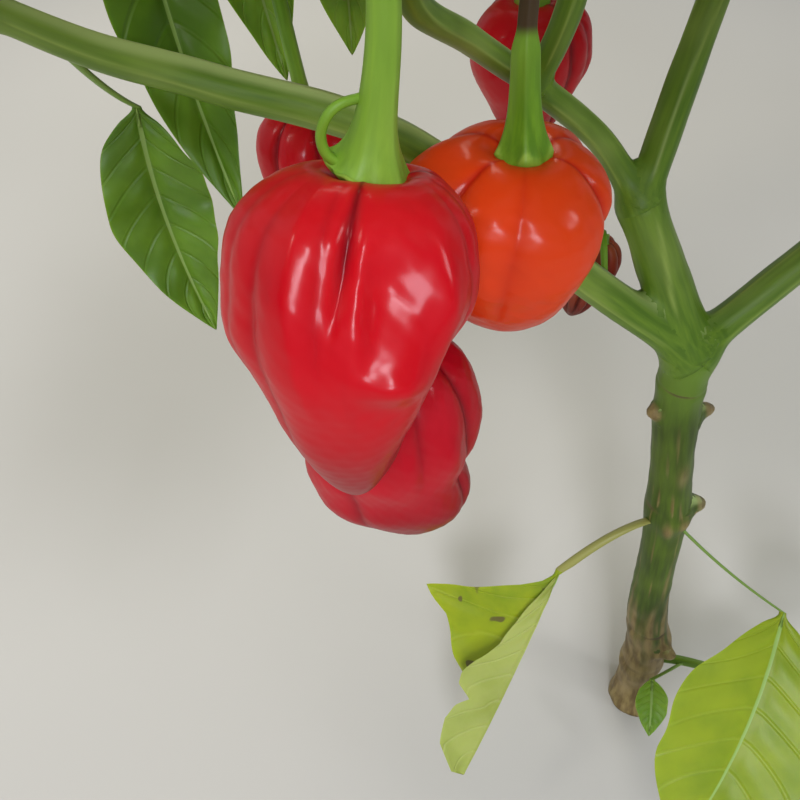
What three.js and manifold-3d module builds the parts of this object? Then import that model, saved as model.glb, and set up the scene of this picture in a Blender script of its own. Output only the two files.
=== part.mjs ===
// A chilli pepper plant with wrinkled, lantern-shaped fruit, rooted in the ground.
// Millimetres, +Z up. The origin is the middle of the flat cut under the main stem, at ground level.
// One green, corky-footed stem forks a hand above the ground. Each fork opens into two or three boughs,
// the boughs end in masses of leafy twigs, and ripe fruit hangs on stout stalks under the forks.
import * as THREE from "three";
import { mergeVertices } from "three/addons/utils/BufferGeometryUtils.js";
import Module from "manifold-3d";

const wasm = await Module();
wasm.setup();

// Driving sizes.
const CLEARANCE = 0.35; // air between a piece and what carries it
const STEM_FOOT_RADIUS = 9;
const STEM_TOP_RADIUS = 7;
const ROOT_FLARE = 2.6; // how far the foot spreads past the stem at ground level
const ROOT_FLARE_HEIGHT = 9;
const LEAF_LENGTH = 86; // blade of a full-grown leaf
const LEAF_WIDTH_SHARE = 0.27; // half width over length
const LEAF_THICKNESS = 1.3;
const LEAF_KEEL = 2.2; // depth of the midrib's keel under a leaf of a mass
const PETIOLE_LENGTH = 24;
const PETIOLE_RADIUS = 1.15;
const LEAF_BELLY = 0.41; // share of its length at which a blade is widest
const LEAF_TILT = 1.3; // how far leaves of a mass may lean sideways
const LEAF_FOLD = 0.15; // each half rises by this angle from the midrib, in radians
const TWIG_LENGTH = 44;
const TWIG_SHARE = 0.86; // length of a twig over the one that it grows on
const TWIG_RADIUS = 2.3;
const TWIG_TAPER = 0.8;
const FORK_ANGLE = 0.62; // between a twig and each of the two that it forks into, in radians
const GENERATIONS = 3;
const GOLDEN_ANGLE = 2.39996;
const FRUIT_LENGTH = 50; // an ordinary fruit in a mass of foliage
const FRUIT_RADIUS = 19;
const FRUIT_STALK = 27;
const SHOULDER_RISE = 0.07; // how far the shoulders stand up round the stalk, over a fruit's length
const CALYX_PIT = 0.03; // how far the middle of the top is sunk
const GROUND_GAP = 120; // foliage of the crown keeps this high above the ground
const SMALLEST_FEATURE = 0.15; // finer edges than this are smoothed away
const BOUGH_SIDES = 5;
const LIMB_STEP = 17; // between the sections of a limb
const SPOT_STEP = 5; // between the spots that stand for a limb

// The crown is open towards this point, low at the front: no leaf of a mass hides the hanging fruit from it.
const EYE = new THREE.Vector3(-121.4, -101.5, 358.6);
const EYE_PITCH = THREE.MathUtils.degToRad(50); // below the horizon, looking along +Y
const EYE_NEAR_SIDE = 0.7; // tangent of the clear half angle to each side, close by
const EYE_FAR_SIDE = 0.5;
const EYE_RISE = 0.66; // the same upwards
const EYE_NEAR_DEPTH = 170;
const EYE_FAR_DEPTH = 520;
const EYE_ROOM = 58; // and nothing at all this near to the point

// Each limb's centre line runs through a few points, from where it leaves its parent.
const FORK_LOW = [-29.9, 42.3, 211.7];
const FORK_MIDDLE = [-54.9, 55.5, 255.5];
const FORK_RIGHT = [44, 62, 296];
const FORK_LEFT = [-208, 49, 307];
const FORK_CENTRE = [-44, 76, 312];
const FORK_INNER = [-84, 47, 340];
const NODE_INNER = [-89.8, 52.6, 289.5];
const NODE_FRONT = [-124, -4.5, 341];
const FORK_FRONT_RIGHT = [88, -18, 352];

const STEM_LINE = [
  [0, 0, 0], [-3.6, 8.4, 42], [-11.2, 16.8, 83.9], [-17.6, 27.1, 135.5], [-28, 37.8, 190], FORK_LOW,
];

const BOUGHS = [
  { name: "bough_middle", line: [FORK_LOW, [-42.8, 49, 234.3], FORK_MIDDLE], radii: [6.9, 6.1] },
  {
    name: "bough_left",
    line: [
      FORK_LOW, [-67, 43.9, 237.9], [-118.9, 49.2, 276.3],
      [-162.9, 47, 292.2], [-188, 48.6, 298.5], FORK_LEFT,
    ],
    radii: [5.6, 3.4],
  },
  { name: "bough_right", line: [FORK_LOW, [4, 54, 248], FORK_RIGHT], radii: [5.4, 4.4] },
  { name: "bough_inner", line: [FORK_MIDDLE, [-69, 59.8, 272.1], NODE_INNER], radii: [3.7, 3.1] },
  { name: "bough_centre", line: [FORK_MIDDLE, [-49.5, 66.5, 286], FORK_CENTRE], radii: [4.3, 3.7] },
  {
    name: "bough_front",
    line: [NODE_INNER, [-107.1, 39.3, 304.5], [-119.6, 21.2, 318], NODE_FRONT],
    radii: [2.7, 2.5],
  },
  { name: "bough_inner_top", line: [NODE_INNER, [-85.6, 48.9, 308.6], FORK_INNER], radii: [2.9, 2.7] },
  { name: "bough_left_front", line: [FORK_LEFT, [-232, 18, 326], [-246, -22, 352]], radii: [2.9, 2.3] },
  { name: "bough_left_top", line: [FORK_LEFT, [-216, 52, 345], [-204, 42, 388]], radii: [2.8, 2.2] },
  { name: "bough_left_back", line: [FORK_LEFT, [-212, 84, 326], [-205, 124, 356]], radii: [2.9, 2.3] },
  { name: "bough_front_left", line: [NODE_FRONT, [-146, -26, 372], [-166, -52, 408]], radii: [2.4, 2.1] },
  { name: "bough_front_top", line: [NODE_FRONT, [-104, -28, 374], [-78, -58, 408]], radii: [2.4, 2.1] },
  { name: "bough_top_left", line: [FORK_INNER, [-93, 41, 384], [-112, 34, 424]], radii: [2.6, 2.2] },
  { name: "bough_back_left", line: [FORK_INNER, [-120, 78, 352], [-158, 112, 378]], radii: [2.6, 2.2] },
  { name: "bough_top", line: [FORK_CENTRE, [-30, 62, 364], [-22, 40, 424]], radii: [3.4, 2.4] },
  { name: "bough_back", line: [FORK_CENTRE, [-61, 117, 325], [-82, 172, 352]], radii: [3.2, 2.4] },
  { name: "bough_back_top", line: [FORK_CENTRE, [-30, 104, 362], [-14, 138, 420]], radii: [3.1, 2.2] },
  { name: "bough_right_front", line: [FORK_RIGHT, [70, 24, 326], FORK_FRONT_RIGHT], radii: [3.5, 2.9] },
  { name: "bough_right_side", line: [FORK_RIGHT, [96, 84, 324], [146, 92, 356]], radii: [3.4, 2.4] },
  { name: "bough_right_back", line: [FORK_RIGHT, [52, 122, 330], [50, 180, 362]], radii: [3.4, 2.4] },
  { name: "bough_top_right", line: [FORK_RIGHT, [52, 60, 358], [64, 48, 420]], radii: [3.3, 2.3] },
  { name: "bough_low_front", line: [FORK_FRONT_RIGHT, [82, -52, 372], [62, -84, 396]], radii: [2.6, 2.1] },
  { name: "bough_low_side", line: [FORK_FRONT_RIGHT, [118, -36, 370], [152, -46, 394]], radii: [2.6, 2.1] },
  { name: "bough_right_top", line: [FORK_FRONT_RIGHT, [104, 0, 384], [122, 12, 424]], radii: [2.5, 2.1] },
];

// Each mass of foliage grows on from the tip of a bough, towards aim, and bears at most this much fruit.
const MASSES = [
  { name: "foliage_left_front", bough: "bough_left_front", aim: [-0.62, -0.62, 0.05], seed: 11, fruit: 1 },
  { name: "foliage_left_top", bough: "bough_left_top", aim: [-0.25, -0.1, 1], seed: 25, fruit: 1 },
  { name: "foliage_left_back", bough: "bough_left_back", aim: [-0.75, 0.55, 0.05], seed: 12, fruit: 1 },
  { name: "foliage_front_left", bough: "bough_front_left", aim: [-0.5, -0.5, 0.7], seed: 13, fruit: 1 },
  { name: "foliage_front_top", bough: "bough_front_top", aim: [0.1, -0.75, 0.6], seed: 14, fruit: 1 },
  { name: "foliage_top_left", bough: "bough_top_left", aim: [-0.45, 0.05, 0.9], seed: 15, fruit: 1 },
  { name: "foliage_back_left", bough: "bough_back_left", aim: [-0.55, 0.65, 0.55], seed: 16, fruit: 1 },
  { name: "foliage_top", bough: "bough_top", aim: [0.05, -0.15, 1], seed: 17, fruit: 1 },
  { name: "foliage_back", bough: "bough_back", aim: [-0.15, 0.95, 0.05], seed: 18, fruit: 2 },
  { name: "foliage_back_top", bough: "bough_back_top", aim: [0.2, 0.55, 0.85], seed: 24, fruit: 1 },
  { name: "foliage_low_front", bough: "bough_low_front", aim: [0.1, -0.9, 0.15], seed: 19, fruit: 1 },
  { name: "foliage_low_side", bough: "bough_low_side", aim: [0.8, -0.55, 0.05], seed: 20, fruit: 1 },
  { name: "foliage_right_top", bough: "bough_right_top", aim: [0.5, 0.1, 0.8], seed: 26, fruit: 0 },
  { name: "foliage_right_side", bough: "bough_right_side", aim: [0.95, 0.2, 0.05], seed: 21, fruit: 2 },
  { name: "foliage_right_back", bough: "bough_right_back", aim: [0.35, 0.9, 0.1], seed: 22, fruit: 2 },
  { name: "foliage_top_right", bough: "bough_top_right", aim: [0.5, 0.1, 0.85], seed: 23, fruit: 1 },
];

// Fruit that hangs under the boughs. stalk: from the bough over its arch to the cap of leaf-green calyx.
// axis points from the calyx to the fruit's tip.
const FRUITS = [
  {
    name: "fruit_front",
    stalk: [[-124, -4.5, 341], [-123.6, -4.6, 322], [-126.2, -4.4, 301]],
    axis: [-0.07, -0.33, -0.94], length: 68, radius: 25,
    lobes: 5, groove: 0.15, waist: 0, taper: 1.5, turn: 0.35,
  },
  {
    name: "fruit_orange",
    stalk: [[-85, 47, 330], [-95, 34, 333], [-98.4, 26.8, 316], [-95.6, 25.4, 288]],
    axis: [0.02, 0.03, -1], length: 49, radius: 23.6,
    lobes: 5, groove: 0.16, waist: 0, taper: 2, turn: 0.9,
  },
  {
    name: "fruit_lower",
    stalk: [[-119, 49, 276], [-126, 40, 262], [-127, 23, 256], [-125.5, 9, 248]],
    axis: [0.16, -0.28, -0.95], length: 62, radius: 22,
    lobes: 4, groove: 0.16, waist: 0.16, taper: 2, turn: 0.2,
  },
  {
    name: "fruit_back",
    stalk: [[-63, 121, 326], [-74, 125, 308], [-79, 126.5, 282]],
    axis: [0.1, 0.05, -1], length: 49, radius: 20.5,
    lobes: 4, groove: 0.17, waist: 0.05, taper: 1.4, turn: 0.6,
  },
  {
    name: "fruit_behind_left",
    stalk: [[-150, 105, 372], [-158, 97, 345], [-155, 96, 300], [-150, 95, 262]],
    axis: [0.05, 0, -1], length: 44, radius: 18,
    lobes: 4, groove: 0.18, waist: 0.05, taper: 1.8, turn: 0.1,
  },
  {
    name: "fruit_high",
    stalk: [[-108, 67, 347], [-122, 76, 356], [-133.5, 86.5, 346]],
    axis: [-0.05, 0, -1], length: 50, radius: 18,
    lobes: 4, groove: 0.16, waist: 0, taper: 1.8, turn: 1.1,
  },
  {
    name: "fruit_withered",
    stalk: [[-62, 43.8, 235], [-62.5, 56, 245], [-59.5, 65, 236]],
    axis: [0.08, 0.06, -1], length: 26, radius: 9.5,
    lobes: 5, groove: 0.3, waist: 0.1, taper: 1.8, turn: 0.5,
  },
];

// Single leaves that stand apart from the masses. face is the way that the upper side looks, and belly
// the share of the blade's length at which it is widest.
const LONE_LEAVES = [
  {
    name: "leaf_low_yellow",
    root: [-17.6, 27.1, 134], base: [-57, 13.5, 115.5], tip: [-98.1, -46.3, 46],
    bow: [-2, 8, 12], face: [-0.85, -0.1, 0.52], width: 29, fold: 0.75, belly: 0.25,
  },
  {
    name: "leaf_low_bright",
    root: [-17.6, 27.1, 137], base: [15, -12, 136], tip: [-20, -76, 76],
    bow: [4, -6, 12], face: [-0.1, -0.6, 0.8], width: 27, fold: 0.25, belly: 0.42,
  },
  {
    name: "leaf_hanging_left",
    root: [-203, 118, 352], base: [-186, 98, 330], tip: [-162.4, 44.2, 259],
    bow: [-6, 0, 4], face: [0.1, -0.75, 0.6], width: 13.5, fold: 0.35, belly: 0.45,
  },
  {
    name: "leaf_hanging_far_left",
    root: [-196, 48.5, 300], base: [-190, 66, 278], tip: [-180, 49, 214],
    bow: [-8, 4, 2], face: [0.2, -0.8, 0.5], width: 15, fold: 0.3, belly: 0.42,
  },
  {
    name: "leaf_hanging_back",
    root: [-158, 108, 376], base: [-172, 118, 345], tip: [-157, 108, 266],
    bow: [-2, 4, 0], face: [0.2, -0.9, 0.3], width: 13, fold: 0.2, belly: 0.45,
  },
  {
    name: "leaf_hanging_bright",
    root: [-121, 79, 353], base: [-142, 118, 345], tip: [-137, 122, 268],
    bow: [2, 6, 2], face: [0, -0.9, 0.4], width: 15, fold: 0.3, belly: 0.45,
  },
];

// A shoot low on the stem, with two leaves: [base, tip, width] of each blade.
const LOW_SHOOT = {
  name: "shoot_low",
  line: [[-2.8, 7, 36], [14, 2, 42], [34, -8, 52]],
  radii: [2.1, 1.6],
  leaves: [
    { base: [46, -30, 60], tip: [72, -80, 40], width: 20 },
    { base: [60, 2, 64], tip: [116, 26, 50], width: 18 },
    { base: [6, -12, 40], tip: [-4, -20, 14], width: 8.5 },
  ],
};

const point = (p) => new THREE.Vector3(...p);

// A share of the way between two numbers.
const between = THREE.MathUtils.lerp;

// Numbers from 0 to 1 that are the same for the same seed.
function seeded(seed) {
  let state = seed >>> 0;
  return () => {
    state = (state + 0x6d2b79f5) >>> 0;
    let t = state;
    t = Math.imul(t ^ (t >>> 15), t | 1);
    t ^= t + Math.imul(t ^ (t >>> 7), t | 61);
    return ((t ^ (t >>> 14)) >>> 0) / 4294967296;
  };
}

// The point at share t of a smooth line through the given points, each span being a Catmull-Rom cubic.
function along(points, t) {
  const spans = points.length - 1;
  const k = Math.min(spans - 1, Math.floor(t * spans));
  const u = t * spans - k;
  const b = points[k];
  const c = points[k + 1];
  const a = k > 0 ? points[k - 1] : b.clone().multiplyScalar(2).sub(c);
  const d = k + 2 <= spans ? points[k + 2] : c.clone().multiplyScalar(2).sub(b);
  const weights = [
    -0.5 * u ** 3 + u ** 2 - 0.5 * u,
    1.5 * u ** 3 - 2.5 * u ** 2 + 1,
    -1.5 * u ** 3 + 2 * u ** 2 + 0.5 * u,
    0.5 * u ** 3 - 0.5 * u ** 2,
  ];
  const place = new THREE.Vector3();
  [a, b, c, d].forEach((p, i) => place.addScaledVector(p, weights[i]));
  return place;
}

function heading(points, t) {
  const step = 0.01;
  const ahead = along(points, Math.min(1, t + step));
  return ahead.sub(along(points, Math.max(0, t - step))).normalize();
}

function lineLength(points) {
  const pieces = 40;
  let length = 0;
  for (let i = 0; i < pieces; i += 1) {
    length += along(points, i / pieces).distanceTo(along(points, (i + 1) / pieces));
  }
  return length;
}

// A three.js geometry as a solid: shared corners are merged and faces with no area are dropped.
function solidOf(geometry) {
  geometry.deleteAttribute("normal");
  geometry.deleteAttribute("uv");
  const merged = mergeVertices(geometry, 1e-4);
  const corners = merged.index.array;
  const kept = [];
  for (let i = 0; i < corners.length; i += 3) {
    const [a, b, c] = corners.slice(i, i + 3);
    if (a !== b && b !== c && c !== a) kept.push(a, b, c);
  }
  return new wasm.Manifold(
    new wasm.Mesh({
      numProp: 3,
      vertProperties: new Float32Array(merged.attributes.position.array),
      triVerts: new Uint32Array(kept),
    }),
  );
}

// A cylinder bent and swelled into shape: place(t, x, y) gives the point at share t of the way along it
// that stood at x, y on the unit circle, or at 0, 0 in the middle of an end.
function sweep(sides, steps, place) {
  const geometry = new THREE.CylinderGeometry(1, 1, 1, sides, steps);
  const at = geometry.attributes.position;
  for (let i = 0; i < at.count; i += 1) {
    const p = place(at.getY(i) + 0.5, at.getX(i), at.getZ(i));
    at.setXYZ(i, p.x, p.y, p.z);
  }
  return solidOf(geometry);
}

// Two directions square to a heading, turned so that a swept cylinder keeps its faces outwards.
function crosswise(direction, hint) {
  const side = new THREE.Vector3().crossVectors(hint, direction).normalize();
  const over = new THREE.Vector3().crossVectors(side, direction);
  return [side, over];
}

function hintFor(points) {
  const chord = points[points.length - 1].clone().sub(points[0]).normalize();
  return Math.abs(chord.z) < 0.8 ? new THREE.Vector3(0, 0, 1) : new THREE.Vector3(1, 0, 0);
}

// A tapering round limb with a domed far end. grow widens it all over.
function limb(points, radiusAt, sides, grow = 0) {
  const steps = Math.max(3, Math.round(lineLength(points) / LIMB_STEP)) + 1;
  const hint = hintFor(points);
  const dome = 0.55;
  return sweep(sides, steps, (t, x, y) => {
    const last = t > 1 - 0.5 / steps;
    const share = Math.min(1, (t * steps) / (steps - 1));
    const direction = heading(points, share);
    const [side, over] = crosswise(direction, hint);
    const radius = radiusAt(share);
    const spread = (last ? radius * dome : radius) + grow;
    const centre = along(points, share);
    if (last) centre.addScaledVector(direction, radius * dome + grow);
    return centre.addScaledVector(side, x * spread).addScaledVector(over, y * spread);
  });
}

// The largest body of a solid, without the needless small faces that joining leaves.
function wholeOf(solid) {
  const bodies = solid.asOriginal().simplify(SMALLEST_FEATURE).decompose();
  return bodies.reduce((a, b) => (b.volume() > a.volume() ? b : a));
}

function meshOf(name, solid, material) {
  const made = solid.getMesh();
  const geometry = new THREE.BufferGeometry();
  geometry.setAttribute("position", new THREE.BufferAttribute(made.vertProperties, 3));
  geometry.setIndex(new THREE.BufferAttribute(made.triVerts, 1));
  geometry.computeVertexNormals();
  const mesh = new THREE.Mesh(geometry, material);
  mesh.name = name;
  return mesh;
}

const corkyStem = new THREE.MeshStandardMaterial({ color: 0x7d8a4e, roughness: 0.75, metalness: 0 });
const greenStem = new THREE.MeshStandardMaterial({ color: 0x6f9a45, roughness: 0.5, metalness: 0 });
const leafGreen = new THREE.MeshStandardMaterial({ color: 0x4f7f27, roughness: 0.45, metalness: 0 });
const leafYellow = new THREE.MeshStandardMaterial({ color: 0xb4c02c, roughness: 0.5, metalness: 0 });
const ripeRed = new THREE.MeshStandardMaterial({ color: 0xc4161c, roughness: 0.25, metalness: 0 });
const ripeOrange = new THREE.MeshStandardMaterial({ color: 0xe0461a, roughness: 0.25, metalness: 0 });
const witheredBrown = new THREE.MeshStandardMaterial({ color: 0x7a3020, roughness: 0.6, metalness: 0 });

// What a new twig or leaf has to keep clear of: round spots with a place and a radius.
const woodySpots = [];
const leafSpots = [];

function markLine(points, radiusAt) {
  const count = Math.ceil(lineLength(points) / SPOT_STEP);
  for (let i = 0; i <= count; i += 1) {
    woodySpots.push({ at: along(points, i / count), radius: radiusAt(i / count) });
  }
}

// The main stem. Its sections are level, so that the cut at the ground is flat. It swells at each old node,
// spreads at the foot, and widens a little under the fork.
const stemPoints = STEM_LINE.map(point);
const STEM_NODES = [
  { share: 0.16, swell: 1 },
  { share: 0.3, swell: 0.6 },
  { share: 0.62, swell: 0.5 },
  { share: 0.86, swell: 0.7 },
];

function stemRadius(t) {
  const height = along(stemPoints, t).z;
  const nodes = STEM_NODES.reduce((sum, n) => sum + n.swell * Math.exp(-(((t - n.share) / 0.035) ** 2)), 0);
  const flare = ROOT_FLARE * Math.exp(-height / ROOT_FLARE_HEIGHT);
  return between(STEM_FOOT_RADIUS, STEM_TOP_RADIUS, t) + nodes + flare;
}

function stemSolid(grow) {
  const steps = 20;
  const dome = 0.6;
  return sweep(10, steps, (t, x, y) => {
    const last = t > 1 - 0.5 / steps;
    const share = Math.min(1, (t * steps) / (steps - 1));
    const centre = along(stemPoints, share);
    const radius = stemRadius(share);
    const spread = (last ? radius * dome : radius) + grow;
    if (last) centre.z += radius * dome + grow;
    return centre.add(new THREE.Vector3(x * spread, -y * spread, 0));
  });
}

// Stubs on the stem where old leaves and shoots have dropped: height share, way round and length.
const STUBS = [
  { share: 0.78, turn: 3.3, length: 2.2, radius: 2.3 },
  { share: 0.77, turn: 0.2, length: 3.5, radius: 2.4 },
  { share: 0.615, turn: 0.0, length: 3, radius: 3 },
  { share: 0.24, turn: 5.4, length: 3, radius: 2.8 },
];

function stubSolid(stub) {
  const centre = along(stemPoints, stub.share);
  const out = new THREE.Vector3(Math.cos(stub.turn), Math.sin(stub.turn), 0.35).normalize();
  const tip = centre.clone().addScaledVector(out, stemRadius(stub.share) + stub.length);
  return limb([centre, tip], (t) => between(stub.radius * 1.6, stub.radius, t), 6);
}

// The limbs. Each is cut back from those before it, so that a fork's pieces meet with a little air between.
const group = new THREE.Group();
const widened = [];

function addLimb(name, solidFor, material) {
  const cut = widened.length ? solidFor(0).subtract(wasm.Manifold.union(widened)) : solidFor(0);
  group.add(meshOf(name, wholeOf(cut), material));
  widened.push(solidFor(CLEARANCE));
}

const stemWithStubs = (grow) => wasm.Manifold.union([stemSolid(grow), ...STUBS.map(stubSolid)]);
addLimb("stem", stemWithStubs, corkyStem);
markLine(stemPoints, stemRadius);

const tips = new Map();
for (const bough of BOUGHS) {
  const points = bough.line.map(point);
  const radiusAt = (t) => between(bough.radii[0], bough.radii[1], t);
  addLimb(bough.name, (grow) => limb(points, radiusAt, BOUGH_SIDES, grow), greenStem);
  markLine(points, radiusAt);
  tips.set(bough.name, { at: points[points.length - 1], direction: heading(points, 1) });
}

// A fruit's radius over its widest radius, at share t from the calyx to the tip: broad shoulders, then a
// taper to a blunt point. taper is near 1 for a cone and 2 for a bell, and waist draws it in further down.
function fruitProfile(t, { taper, waist }) {
  const widest = 0.36;
  const waistAt = 0.62;
  const waistSpan = 0.1;
  const past = Math.max(0, (t - widest) / (1 - widest));
  const before = Math.max(0, 1 - t / widest);
  const swell = Math.sqrt(1 - before ** 2.6) * (1 - past ** taper) ** 0.74;
  return swell * (1 - waist * Math.exp(-(((t - waistAt) / waistSpan) ** 2)));
}

// Narrow grooves between broad ribs, deepest near the calyx and towards the tip.
function grooves(angle, t, fruit) {
  const rib = 1 - Math.abs(Math.sin((fruit.lobes * angle) / 2 + fruit.turn));
  return 1 - fruit.groove * rib ** 2 * (0.55 + 0.9 * Math.abs(t - 0.4));
}

function fruitBody(fruit, sides, steps) {
  const axis = point(fruit.axis).normalize();
  const [side, over] = crosswise(axis, new THREE.Vector3(0, 1, 0));
  const top = point(fruit.stalk[fruit.stalk.length - 1]);
  return sweep(sides, steps, (t, x, y) => {
    const share = t ** 1.3;
    const radius = fruit.radius * fruitProfile(share, fruit) * grooves(Math.atan2(y, x), share, fruit);
    const rise = fruit.length * (t === 0 ? CALYX_PIT : (1 + SHOULDER_RISE) * share - SHOULDER_RISE);
    const spread = side.clone().multiplyScalar(x * radius).addScaledVector(over, y * radius);
    return top.clone().addScaledVector(axis, rise).add(spread);
  });
}

// A fruit's stalk, thickening downwards and flaring into the calyx that caps the fruit.
function stalkSolid(fruit, thickness) {
  const points = fruit.stalk.map(point);
  const axis = point(fruit.axis).normalize();
  const end = points[points.length - 1].clone().addScaledVector(axis, fruit.length * 0.1);
  const calyx = fruit.radius * 0.27;
  const radiusAt = (t) => thickness * between(0.72, 1.1, t) + calyx * Math.exp(-(((1 - t) / 0.16) ** 2));
  return limb([...points, end], radiusAt, 6);
}

for (const fruit of FRUITS) {
  const thickness = fruit.radius * 0.11 + 0.2;
  const body = fruitBody(fruit, fruit.lobes * 3, 6);
  const whole = body.add(stalkSolid(fruit, thickness)).subtract(wasm.Manifold.union(widened));
  const skins = { fruit_orange: ripeOrange, fruit_withered: witheredBrown };
  group.add(meshOf(fruit.name, wholeOf(whole), skins[fruit.name] ?? ripeRed));
  markLine(fruit.stalk.map(point), () => thickness);
  const axis = point(fruit.axis).normalize();
  const top = point(fruit.stalk[fruit.stalk.length - 1]);
  for (const share of [0.25, 0.45, 0.65, 0.85]) {
    const at = top.clone().addScaledVector(axis, share * fruit.length);
    woodySpots.push({ at, radius: fruit.radius * fruitProfile(share, fruit) });
  }
}

// A leaf: a thin petiole from root to base, then a blade that bows from base to tip and folds up from its
// midrib. The blade's outline swells from the base and narrows to a long point.
const leafOutline = (s, belly) => Math.sin(Math.PI * s ** (Math.log(0.5) / Math.log(belly))) ** 0.9;

function leafLine(leaf, s) {
  const bowed = leaf.base.clone().add(leaf.tip).multiplyScalar(0.5).add(leaf.bow);
  const first = leaf.base.clone().lerp(bowed, s);
  return first.lerp(bowed.lerp(leaf.tip, s), s);
}

function leafAcross(leaf, s) {
  const step = 0.05;
  const ahead = leafLine(leaf, Math.min(1, s + step));
  const direction = ahead.sub(leafLine(leaf, Math.max(0, s - step))).normalize();
  const side = new THREE.Vector3().crossVectors(direction, leaf.face).normalize();
  const up = new THREE.Vector3().crossVectors(side, direction).normalize();
  return [side, up];
}

// A lone leaf is a folded sheet with an even thickness.
const LONE_SHARES = [0, 0.1, 0.26, 0.46, 0.7, 0.88, 1];

function loneLeafSolid(leaf) {
  const stations = LONE_SHARES.length;
  return sweep(4, stations, (t, x, y) => {
    const k = Math.round(t * stations);
    const s = k === 0 ? 0 : LONE_SHARES[k - 1];
    const centre = k === 0 ? leaf.root.clone() : leafLine(leaf, s);
    const [side, up] = leafAcross(leaf, s);
    if (k === stations) return centre;
    if (k < 2) {
      return centre.addScaledVector(side, x * PETIOLE_RADIUS).addScaledVector(up, y * PETIOLE_RADIUS);
    }
    const half = leaf.width * leafOutline(s, leaf.belly);
    const lift = half * Math.sin(leaf.fold) * Math.abs(x) + (y * LEAF_THICKNESS) / 2;
    return centre.addScaledVector(side, x * half * Math.cos(leaf.fold)).addScaledVector(up, lift);
  });
}

// A leaf of a mass is flat on top, with a keel under its midrib.
const MASS_SHARES = [0, 0.3, 0.68, 1];

function leafSolid(leaf) {
  const stations = MASS_SHARES.length;
  return sweep(3, stations, (t, x, y) => {
    const k = Math.round(t * stations);
    const s = k === 0 ? 0 : MASS_SHARES[k - 1];
    const centre = k === 0 ? leaf.root.clone() : leafLine(leaf, s);
    if (k === stations) return centre;
    const [side, up] = leafAcross(leaf, s);
    const half = k < 2 ? PETIOLE_RADIUS : leaf.width * leafOutline(s, leaf.belly);
    const depth = k < 2 ? PETIOLE_RADIUS : LEAF_KEEL / 2;
    centre.addScaledVector(side, (-x * half) / Math.sin(Math.PI / 3));
    return centre.addScaledVector(up, y > 0 ? -depth : depth);
  });
}

// Spots all over a blade, for telling whether it is clear of something.
function bladeSpots(leaf) {
  const spots = [];
  for (const s of [0.08, 0.22, 0.36, 0.5, 0.64, 0.78, 0.9, 1]) {
    const [side, up] = leafAcross(leaf, s);
    for (const x of [-1, -0.5, 0, 0.5, 1]) {
      const half = leaf.width * leafOutline(s, leaf.belly);
      const spot = leafLine(leaf, s).addScaledVector(side, x * half * Math.cos(leaf.fold));
      spots.push(spot.addScaledVector(up, Math.abs(x) * half * Math.sin(leaf.fold)));
    }
  }
  return spots;
}

// The least air from a new leaf's midplane to a limb or another leaf, and from a new twig's middle to a limb.
const LIMB_AIR = 6;
const LEAF_AIR = 9.5;
const TWIG_AIR = 4;
const FIRST_BASE = 12; // a twig's foot may be this near to what it grows on
const TWIG_BASE = 6;

const clearOf = (spots, at, air) => spots.every((s) => s.at.distanceTo(at) > s.radius + air);

// Whether a point lies in the open air between the eye point and the fruit.
function inOpening(at) {
  const off = at.clone().sub(EYE);
  const depth = off.y * Math.cos(EYE_PITCH) - off.z * Math.sin(EYE_PITCH);
  const rise = off.y * Math.sin(EYE_PITCH) + off.z * Math.cos(EYE_PITCH);
  if (off.length() < EYE_ROOM) return true;
  if (depth < 0 || depth > EYE_FAR_DEPTH || Math.abs(rise) > depth * EYE_RISE) return false;
  return Math.abs(off.x) < depth * (depth < EYE_NEAR_DEPTH ? EYE_NEAR_SIDE : EYE_FAR_SIDE);
}

// Each mass keeps to its own space: nearer to its own centre than to another's, give or take a little.
const SPACE_REACH = 82;
const SPACE_SHARING = 26;
const centres = new Map(
  MASSES.map((mass) => {
    const aim = point(mass.aim).normalize();
    return [mass.name, tips.get(mass.bough).at.clone().addScaledVector(aim, SPACE_REACH)];
  }),
);

function inSpace(name, at) {
  const own = centres.get(name).distanceTo(at);
  for (const centre of centres.values()) {
    if (centre.distanceTo(at) < own - SPACE_SHARING) return false;
  }
  return at.z > GROUND_GAP;
}

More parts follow.
